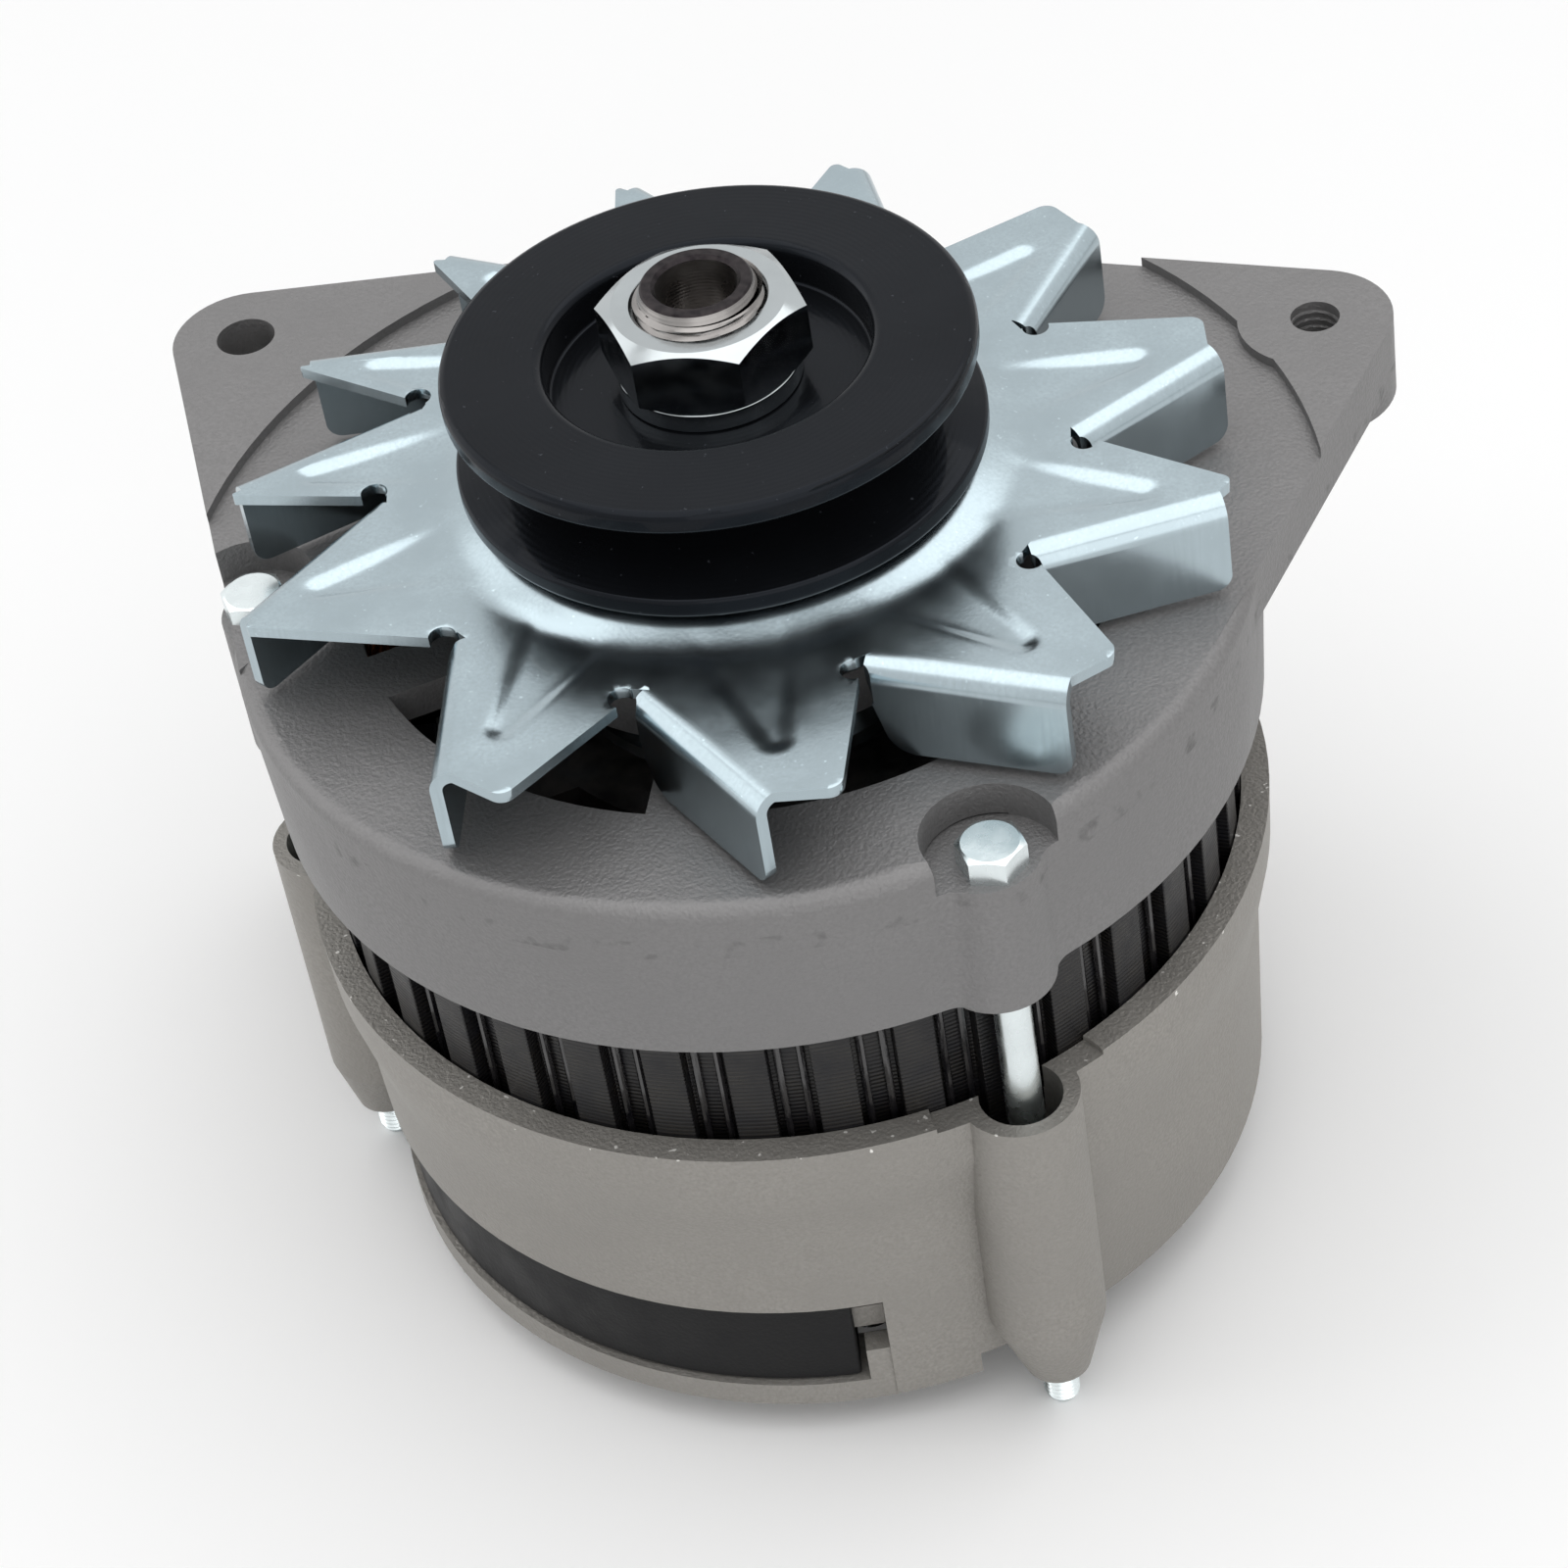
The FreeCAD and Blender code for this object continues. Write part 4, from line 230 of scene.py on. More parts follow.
def roughened(tree, factor, low, high):
    """A roughness that follows a pattern from low to high."""
    limits = {"Value": factor, "To Min": low, "To Max": high}
    return add(tree, "ShaderNodeMapRange", limits).outputs["Result"]


def bumped(tree, shader, *layers):
    """Stacks bumps, each a height and its depth in millimetres."""
    normal = None
    for height, depth in layers:
        inputs = {"Height": height, "Distance": depth * MM, "Strength": 1.0}
        if normal is not None:
            inputs["Normal"] = normal
        normal = add(tree, "ShaderNodeBump", inputs).outputs["Normal"]
    tree.links.new(normal, shader.inputs["Normal"])


def blasted_casting(name, colour, chips_above=None, seam_at=None, seam_half=1.6):
    """Die-cast aluminium, shot-blasted: a dull even grey with a fine dimpled
    grain, cloudy patches, and pale chips or a dirty seam where they are.

    The heights of the chips and of the seam are in millimetres."""
    finish, tree, shader, place = new_finish(name, 0.55, 0.55)
    clouds = grained(tree, place, 22, 0.35, 0.68)
    grit = grained(tree, place, 0.55, 0.3, 0.7, detail=2.0)
    pits = grained(tree, place, 2.4, 0.66, 0.78, detail=3.0)
    tone = blended(tree, clouds, shade(colour, 0.90), shade(colour, 1.07))
    tone = blended(tree, grit, shade(colour, 0.87), tone)
    tone = blended(tree, pits, tone, shade(colour, 0.88))
    height = add(tree, "ShaderNodeSeparateXYZ", {"Vector": place}).outputs["Z"]
    if chips_above is not None:
        band = add(tree, "ShaderNodeMath", {0: height, 1: chips_above * MM}, operation="GREATER_THAN")
        chips = grained(tree, place, 1.1, 0.73, 0.76, detail=1.0)
        both = add(tree, "ShaderNodeMath", {0: band.outputs[0], 1: chips}, operation="MULTIPLY").outputs[0]
        tone = blended(tree, both, tone, hex_colour("#E6E4E0"))
    if seam_at is not None:
        away = add(tree, "ShaderNodeMath", {0: height, 1: -seam_at * MM}, operation="ADD").outputs[0]
        away = add(tree, "ShaderNodeMath", {0: away}, operation="ABSOLUTE").outputs[0]
        near = add(tree, "ShaderNodeMath", {0: away, 1: seam_half * MM}, operation="LESS_THAN").outputs[0]
        dirt = grained(tree, place, 3.0, 0.56, 0.72, detail=5.0)
        both = add(tree, "ShaderNodeMath", {0: near, 1: dirt}, operation="MULTIPLY").outputs[0]
        tone = blended(tree, both, tone, shade(colour, 0.55))
    tree.links.new(tone, shader.inputs["Base Color"])
    tree.links.new(roughened(tree, clouds, 0.48, 0.62), shader.inputs["Roughness"])
    bumped(tree, shader, (grained(tree, place, 5, 0.2, 0.8), 0.10), (grit, 0.06))
    return finish


def zinc_sheet(name, colour):
    """Steel sheet with bright zinc plating: a cool mirror, softened by the
    rolled grain, with faint spangle and thin rubbed streaks."""
    finish, tree, shader, place = new_finish(name, 1.0, 0.2)
    spangle = grained(tree, place, 9, 0.3, 0.7)
    stretched = add(tree, "ShaderNodeMapping", {"Vector": place, "Scale": (1.0, 1.0, 0.06)}).outputs["Vector"]
    streaks = grained(tree, stretched, 0.5, 0.35, 0.75, detail=2.0)
    dust = grained(tree, place, 0.7, 0.68, 0.80, detail=2.0)
    tone = blended(tree, spangle, shade(colour, 0.94), shade(colour, 1.08))
    tone = blended(tree, streaks, tone, shade(colour, 0.95))
    tree.links.new(blended(tree, dust, tone, shade(colour, 1.3)), shader.inputs["Base Color"])
    tree.links.new(roughened(tree, spangle, 0.19, 0.27), shader.inputs["Roughness"])
    bumped(tree, shader, (grained(tree, place, 14, 0.2, 0.8), 0.03), (streaks, 0.002))
    return finish


def plated_hardware(name, colour, smoothest=0.12):
    """Turned and cold-headed steel with bright zinc: nearly a mirror, with
    small dents and duller patches."""
    finish, tree, shader, place = new_finish(name, 1.0, smoothest)
    patches = grained(tree, place, 8, 0.35, 0.65)
    dents = grained(tree, place, 2.5, 0.3, 0.7, detail=2.0)
    tone = blended(tree, patches, colour, shade(colour, 0.92))
    tree.links.new(tone, shader.inputs["Base Color"])
    tree.links.new(roughened(tree, dents, smoothest, smoothest + 0.1), shader.inputs["Roughness"])
    bumped(tree, shader, (dents, 0.008))
    return finish


def black_enamel(name, colour):
    """Stoved black enamel on a turned pulley: deep black with a soft gloss,
    faint turning rings under it and a few dust nibs."""
    finish, tree, shader, place = new_finish(
        name, 0.0, 0.26, Coat_Weight=0.1, Coat_Roughness=0.06, Coat_Tint=hex_colour("#C4D6F0"),
        Specular_IOR_Level=0.12, Specular_Tint=hex_colour("#C4D6F0"),
    )
    rings = add(
        tree, "ShaderNodeTexWave", {"Vector": place, "Scale": wave_scale(0.8), "Distortion": 0.4},
        wave_type="RINGS", rings_direction="Z",
    ).outputs["Fac"]
    nibs = grained(tree, place, 0.8, 0.76, 0.80, detail=1.0)
    clouds = grained(tree, place, 18, 0.3, 0.7)
    tone = blended(tree, clouds, shade(colour, 0.85), shade(colour, 1.25))
    tree.links.new(blended(tree, nibs, tone, hex_colour("#3A3C40")), shader.inputs["Base Color"])
    tree.links.new(roughened(tree, clouds, 0.2, 0.3), shader.inputs["Roughness"])
    bumped(tree, shader, (rings, 0.006), (grained(tree, place, 2, 0.2, 0.8), 0.012))
    return finish


def turned_steel(name, colour):
    """Turned steel with a film of oil: a soft grey mirror with fine rings."""
    finish, tree, shader, place = new_finish(name, 1.0, 0.36)
    rings = add(
        tree, "ShaderNodeTexWave", {"Vector": place, "Scale": wave_scale(0.5), "Distortion": 0.6},
        wave_type="BANDS", bands_direction="Z",
    ).outputs["Fac"]
    film = grained(tree, place, 5, 0.3, 0.7)
    tree.links.new(blended(tree, film, shade(colour, 0.75), shade(colour, 1.2)), shader.inputs["Base Color"])
    tree.links.new(roughened(tree, film, 0.22, 0.36), shader.inputs["Roughness"])
    bumped(tree, shader, (rings, 0.012))
    return finish


def blackened_steel(name):
    """Steel end left black from hardening: near black, dull, with scale."""
    finish, tree, shader, place = new_finish(name, 1.0, 0.42)
    scale = grained(tree, place, 1.2, 0.35, 0.7)
    tone = blended(tree, scale, hex_colour("#262325"), hex_colour("#3B3738"))
    tree.links.new(tone, shader.inputs["Base Color"])
    tree.links.new(roughened(tree, scale, 0.34, 0.55), shader.inputs["Roughness"])
    bumped(tree, shader, (scale, 0.02))
    return finish


def ground_steel(name):
    """Hardened bearing steel, ground: a bright hard mirror."""
    finish, tree, shader, place = new_finish(name, 1.0, 0.14)
    film = grained(tree, place, 3, 0.3, 0.7)
    tone = blended(tree, film, hex_colour("#AEB2B5"), hex_colour("#C4C7C9"))
    tree.links.new(tone, shader.inputs["Base Color"])
    tree.links.new(roughened(tree, film, 0.10, 0.2), shader.inputs["Roughness"])
    bumped(tree, shader, (grained(tree, place, 0.7, 0.3, 0.7), 0.002))
    return finish


def varnished_laminations(name, colour, pitch):
    """A stack of steel sheets dipped in black varnish: level lines, one for
    each sheet, under a glossy uneven film."""
    finish, tree, shader, place = new_finish(
        name, 0.0, 0.36, Coat_Weight=0.1, Coat_Roughness=0.2, Specular_IOR_Level=0.3,
    )
    stack = {"Vector": place, "Scale": wave_scale(pitch / MM), "Distortion": 0.5, "Detail": 1.0}
    sheets = add(tree, "ShaderNodeTexWave", stack, wave_type="BANDS", bands_direction="Z").outputs["Fac"]
    film = grained(tree, place, 4, 0.3, 0.7)
    tone = blended(tree, sheets, shade(colour, 0.6), hex_colour("#26231F"))
    tree.links.new(blended(tree, film, tone, shade(colour, 1.1)), shader.inputs["Base Color"])
    tree.links.new(roughened(tree, film, 0.26, 0.5), shader.inputs["Roughness"])
    bumped(tree, shader, (film, 0.05), (sheets, 0.06))
    return finish


def gloss_varnish(name, colour):
    """Thick black varnish that has run down a channel: wet-looking."""
    finish, tree, shader, place = new_finish(name, 0.0, 0.2, Coat_Weight=0.5, Coat_Roughness=0.1)
    runs = add(tree, "ShaderNodeMapping", {"Vector": place, "Scale": (1.0, 1.0, 0.2)}).outputs["Vector"]
    film = grained(tree, runs, 1.5, 0.3, 0.7)
    tree.links.new(blended(tree, film, colour, hex_colour("#2D2B2C")), shader.inputs["Base Color"])
    tree.links.new(roughened(tree, film, 0.14, 0.3), shader.inputs["Roughness"])
    bumped(tree, shader, (film, 0.1))
    return finish


def enamelled_wire(name, colour, wire=0.9):
    """Copper wire with amber enamel, wound side by side."""
    finish, tree, shader, place = new_finish(name, 0.85, 0.3, Coat_Weight=0.4, Coat_Roughness=0.15)
    winding = {"Vector": place, "Scale": wave_scale(wire), "Distortion": 1.5, "Detail": 1.0}
    turns = add(tree, "ShaderNodeTexWave", winding, wave_type="BANDS", bands_direction="Z").outputs["Fac"]
    film = grained(tree, place, 5, 0.3, 0.7)
    tone = blended(tree, turns, shade(colour, 0.45), shade(colour, 1.2))
    tree.links.new(blended(tree, film, tone, shade(colour, 0.7)), shader.inputs["Base Color"])
    tree.links.new(roughened(tree, film, 0.24, 0.42), shader.inputs["Roughness"])
    bumped(tree, shader, (turns, 0.15))
    return finish


def turned_copper(name):
    """Slip-ring copper, polished by the brushes, with dark carbon tracks."""
    finish, tree, shader, place = new_finish(name, 1.0, 0.25)
    tracks = add(
        tree, "ShaderNodeTexWave", {"Vector": place, "Scale": wave_scale(0.9), "Distortion": 1.0},
        wave_type="BANDS", bands_direction="Z",
    ).outputs["Fac"]
    tone = blended(tree, tracks, hex_colour("#B8794A"), hex_colour("#7A5236"))
    tree.links.new(tone, shader.inputs["Base Color"])
    tree.links.new(roughened(tree, tracks, 0.18, 0.36), shader.inputs["Roughness"])
    bumped(tree, shader, (tracks, 0.01))
    return finish


def forged_iron(name):
    """Forged soft iron under thin black lacquer: dull and slightly scaly."""
    finish, tree, shader, place = new_finish(name, 0.3, 0.5)
    scale = grained(tree, place, 3, 0.35, 0.65)
    tone = blended(tree, scale, hex_colour("#2C2A2A"), hex_colour("#4A4644"))
    tree.links.new(tone, shader.inputs["Base Color"])
    tree.links.new(roughened(tree, scale, 0.4, 0.62), shader.inputs["Roughness"])
    bumped(tree, shader, (scale, 0.06))
    return finish


def stamped_aluminium(name):
    """Stamped aluminium plate with a satin rolled surface."""
    finish, tree, shader, place = new_finish(name, 0.9, 0.4)
    rolled = add(tree, "ShaderNodeMapping", {"Vector": place, "Scale": (0.05, 1.0, 1.0)}).outputs["Vector"]
    lines = grained(tree, rolled, 0.5, 0.3, 0.7, detail=2.0)
    tone = blended(tree, lines, hex_colour("#A7AAAC"), hex_colour("#BCBFC1"))
    tree.links.new(tone, shader.inputs["Base Color"])
    tree.links.new(roughened(tree, lines, 0.34, 0.48), shader.inputs["Roughness"])
    bumped(tree, shader, (lines, 0.008))
    return finish


def moulded_nylon(name, colour, grain=0.6, depth=0.02):
    """Glass-filled nylon from a spark-eroded mould: matt with a fine grain
    and slightly cloudy where the fibres lie near the surface."""
    finish, tree, shader, place = new_finish(name, 0.0, 0.5, Specular_IOR_Level=0.2)
    fibres = grained(tree, place, 7, 0.35, 0.7)
    grit = grained(tree, place, grain, 0.3, 0.7, detail=2.0)
    tone = blended(tree, fibres, colour, shade(colour, 1.5))
    tree.links.new(tone, shader.inputs["Base Color"])
    tree.links.new(roughened(tree, fibres, 0.42, 0.6), shader.inputs["Roughness"])
    bumped(tree, shader, (grit, depth))
    return finish


def pressed_carbon(name):
    """Pressed carbon and graphite: black-grey with a faint metallic sheen."""
    finish, tree, shader, place = new_finish(name, 0.25, 0.55)
    grains = grained(tree, place, 0.6, 0.35, 0.65)
    tone = blended(tree, grains, hex_colour("#161617"), hex_colour("#2B2B2D"))
    tree.links.new(tone, shader.inputs["Base Color"])
    bumped(tree, shader, (grains, 0.02))
    return finish


def mesh_piece(name, corners, faces, smooth_angle=35.0):
    """A new mesh object from corners in metres."""
    mesh = bpy.data.meshes.new(name)
    mesh.from_pydata([tuple(corner) for corner in corners], [], faces)
    mesh.validate()
    clean = bmesh.new()
    clean.from_mesh(mesh)
    bmesh.ops.remove_doubles(clean, verts=clean.verts, dist=1e-6)
    bmesh.ops.recalc_face_normals(clean, faces=clean.faces)
    clean.to_mesh(mesh)
    clean.free()
    mesh.shade_smooth()
    mesh.set_sharp_from_angle(angle=math.radians(smooth_angle))
    piece = bpy.data.objects.new(name, mesh)
    bpy.context.scene.collection.objects.link(piece)
    return piece


def rounded_copy(name, node, radius, segments=2, angle=28.0):
    """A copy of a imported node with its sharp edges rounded.

    Flat facets are joined first, so that the rounding follows real edges."""
    shape = bmesh.new()
    shape.from_mesh(NODES[node].data)
    bmesh.ops.remove_doubles(shape, verts=shape.verts, dist=2e-6)
    flat = math.radians(0.4)
    bmesh.ops.dissolve_limit(shape, angle_limit=flat, verts=shape.verts, edges=shape.edges)
    mesh = bpy.data.meshes.new(name)
    shape.to_mesh(mesh)
    shape.free()
    mesh.shade_smooth()
    piece = bpy.data.objects.new(name, mesh)
    bpy.context.scene.collection.objects.link(piece)
    bevel = piece.modifiers.new("rounded edges", "BEVEL")
    bevel.width = radius
    bevel.segments = segments
    bevel.limit_method = "ANGLE"
    bevel.angle_limit = math.radians(angle)
    weighted = piece.modifiers.new("even shading", "WEIGHTED_NORMAL")
    weighted.keep_sharp = False
    return piece


def finished(piece, body, finish, covers=()):
    """Gives a piece its material, its body and the nodes it stands for."""
    piece.data.materials.clear()
    piece.data.materials.append(finish)
    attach(piece, body)
    if covers:
        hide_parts(*covers)
    return piece


def coat(finish, *nodes):
    """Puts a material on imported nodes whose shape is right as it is."""
    for node in nodes:
        piece = NODES[node]
        if not piece.material_slots:
            piece.data.materials.append(finish)
        for slot in piece.material_slots:
            slot.material = finish


def lathe(profile, steps=96):
    """Corners and faces of (radius, height) points turned about the shaft."""
    corners = []
    faces = []
    count = len(profile)
    for step in range(steps):
        angle = FULL_TURN * step / steps
        corners += [(r * MM * math.cos(angle), r * MM * math.sin(angle), z * MM) for r, z in profile]
    for step in range(steps):
        after = (step + 1) % steps
        for index in range(count - 1):
            faces.append([
                step * count + index, step * count + index + 1,
                after * count + index + 1, after * count + index,
            ])
    return corners, faces


def ring_faces(rows, steps):
    """Four-sided faces between rows of points that each go once round."""
    faces = []
    for row in range(rows - 1):
        for step in range(steps):
            after = (step + 1) % steps
            faces.append([
                row * steps + step, row * steps + after,
                (row + 1) * steps + after, (row + 1) * steps + step,
            ])
    return faces


def thread_rod(radius, depth, pitch, low, high, steps=72, rows_per_turn=8):
    """A threaded rod about the Z axis, in millimetres: corners and faces.

    The flank's slope is above 1, so the groove's root comes out flat."""
    flank = 1.25
    rows = max(2, round((high - low) / pitch * rows_per_turn))
    corners = []
    for row in range(rows + 1):
        height = low + (high - low) * row / rows
        for step in range(steps):
            phase = (height / pitch - step / steps) % 1.0
            groove = 1 - abs(2 * phase - 1)
            reach = radius - depth * min(1.0, flank * groove)
            angle = FULL_TURN * step / steps
            corners.append((reach * MM * math.cos(angle), reach * MM * math.sin(angle), height * MM))
    return corners, ring_faces(rows + 1, steps)


def hexagon_reach(angle, flats):
    """Distance from the middle to a hexagon's side in one direction."""
    turned = (angle - math.radians(30)) % math.radians(60)
    return flats / 2 / math.cos(turned - math.radians(30))


def chamfered_hexagon(flats, low, high, bore=0.0, both=False, steps=72, land=0.95, slope=0.55):
    """A hexagon whose corners are cut by a cone, with or without a bore.

    The corner points lie at 30 degrees and every 60 degrees after it."""
    countersink = 0.5
    flat = flats / 2 * land
    rings = []
    angles = [FULL_TURN * step / steps for step in range(steps)]

    def ring_at(reach, height):
        rings.append([
            (reach(angle) * MM * math.cos(angle), reach(angle) * MM * math.sin(angle), height(angle) * MM)
            for angle in angles
        ])

    def side(angle):
        return hexagon_reach(angle, flats)

    def drop(angle):
        return (side(angle) - flat) * slope

    ring_at(lambda angle: max(bore, CLOSED), lambda angle: high - (countersink if bore else 0.0))
    if bore:
        ring_at(lambda angle: bore + countersink, lambda angle: high)
    ring_at(lambda angle: flat, lambda angle: high)
    ring_at(side, lambda angle: high - drop(angle))
    ring_at(side, lambda angle: low + (drop(angle) if both else 0.0))
    ring_at(lambda angle: flat, lambda angle: low)
    ring_at(lambda angle: max(bore, CLOSED), lambda angle: low)
    corners = [corner for ring in rings for corner in ring]
    faces = []
    total = len(rings)
    spans = total if bore else total - 1
    for index in range(spans):
        other = (index + 1) % total
        for step in range(steps):
            after = (step + 1) % steps
            faces.append([
                index * steps + step, index * steps + after,
                other * steps + after, other * steps + step,
            ])
    return corners, faces


def gather(*parts):
    """Joins several (corners, faces) pairs, moved by an optional matrix."""
    corners = []
    faces = []
    for part in parts:
        more, sides = part[0], part[1]
        move = part[2] if len(part) > 2 else Matrix.Identity(4)
        base = len(corners)
        corners += [move @ Vector(corner) for corner in more]
        faces += [[base + index for index in side] for side in sides]
    return corners, faces


def tube(path, radius, sides=8, capped=True):
    """A round tube along points in metres; radius is in metres."""
    corners = []
    normal = None
    for index, point in enumerate(path):
        before = path[max(index - 1, 0)]
        after = path[min(index + 1, len(path) - 1)]
        along = (after - before).normalized()
        if normal is None:
            normal = along.orthogonal().normalized()
        normal = (normal - along * normal.dot(along)).normalized()
        across = along.cross(normal)
        for side in range(sides):
            angle = FULL_TURN * side / sides
            corners.append(point + (normal * math.cos(angle) + across * math.sin(angle)) * radius)
    faces = ring_faces(len(path), sides)
    if capped:
        faces.append(list(range(sides)))
        faces.append([(len(path) - 1) * sides + side for side in reversed(range(sides))])
    return corners, faces


def eased(share):
    """A share from 0 to 1 that starts and ends softly."""
    share = min(1.0, max(0.0, share))
    return share * share * (3 - 2 * share)


def polar(radius, degrees, height):
    """A point in metres from millimetres and degrees."""
    angle = math.radians(degrees)
    return Vector((radius * math.cos(angle), radius * math.sin(angle), height)) * MM


def node_span(node):
    """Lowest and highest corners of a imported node, in millimetres."""
    low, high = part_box(node)
    return [value / MM for value in low], [value / MM for value in high]


def middle_of(node):
    """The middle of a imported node's box, in millimetres."""
    low, high = node_span(node)
    return [(a + b) / 2 for a, b in zip(low, high)]


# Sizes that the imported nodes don't give by themselves, in millimetres
SHAFT_RADIUS, POLE_SEAT, TAIL_RADIUS, RING_SEAT = 8.5, 10.0, 8.0, 6.0
SOCKET_RADIUS, SOCKET_DEPTH, SOCKET_LIP = 5.35, 13.0, 3.0
BOLT_CIRCLE = 67.2
BOLT_ANGLES = (-24.3, 95.7, 215.7)
BOLT_RADIUS = 2.5
CORE_RADIUS = 63.5
STUD_SHANK = 3.25
SLOTS = 36
ADJUST_REACH, ADJUST_ANGLE, ADJUST_RADIUS = 87.2, 62.4, 3.4
HUB_TOP, PLATE_TOP = -8.5, -11.0
HUB_RADIUS, CONE_RADIUS, FAN_RADIUS = 30.5, 39.5, 67.0
BORE_RADIUS, KEYWAY_REACH, KEYWAY_WIDTH = 8.6, 10.2, 4.2
PANEL_FOOT, PANEL_END = 35.0, 58.5
PANEL_FADE, PANEL_FULL = 34.0, 52.0

# Directions of each fan blade's fold root, fold tip and plain corner
FAN_BLADES = (
    (5.0, 21.5, 26.0),
    (35.0, 48.5, 56.0),
    (67.0, 78.5, 86.5),
    (95.5, 111.0, 115.5),
    (122.5, 139.0, 142.5),
    (148.5, 164.0, 167.5),
    (171.0, 188.5, 191.0),
    (193.5, 212.5, 215.0),
    (218.5, 236.5, 239.5),
    (259.0, 275.0, 284.5),
    (293.5, 311.5, 320.8),
    (329.5, 347.0, 355.3),
)


class BuildCastings(bpy.types.Operator):
    """Dresses both cast brackets and the thread in the adjusting ear"""

    bl_idname = "alternator.build_castings"
    bl_label = "Cast brackets"

    def execute(self, context):
        settings = context.scene.alternator_castings
        seam, rear_rim = -33.0, -74.2
        front = blasted_casting("shot-blasted front casting", settings.front_colour, seam_at=seam)
        rear = blasted_casting("shot-blasted rear casting", settings.rear_colour, chips_above=rear_rim)
        piece = rounded_copy("front_casting", "drive_end_bracket", settings.edge_radius, segments=3)
        finished(piece, "housing", front, ["drive_end_bracket"])
        piece = rounded_copy("rear_casting", "slip_ring_end_bracket", settings.edge_radius, segments=3)
        finished(piece, "housing", rear, ["slip_ring_end_bracket"])
        self.cut_thread(settings, front)
        return {"FINISHED"}

    def cut_thread(self, settings, finish):
        """The crest of the adjusting ear's thread, as one thin helix."""
        pitch = settings.thread_pitch / MM
        top, low = -25.2, -36.6
        sunk, crest = 0.05, 0.3
        centre = polar(ADJUST_REACH, ADJUST_ANGLE, 0)
        steps = 28
        total = int((top - low) / pitch * steps)
        path = []
        for index in range(total):
            angle = 360 * index / steps
            path.append(centre + polar(ADJUST_RADIUS + sunk, angle, low + pitch * index / steps))
        corners, faces = tube(path, crest * MM, sides=6)
        finished(mesh_piece("ear_thread", corners, faces), "housing", finish)


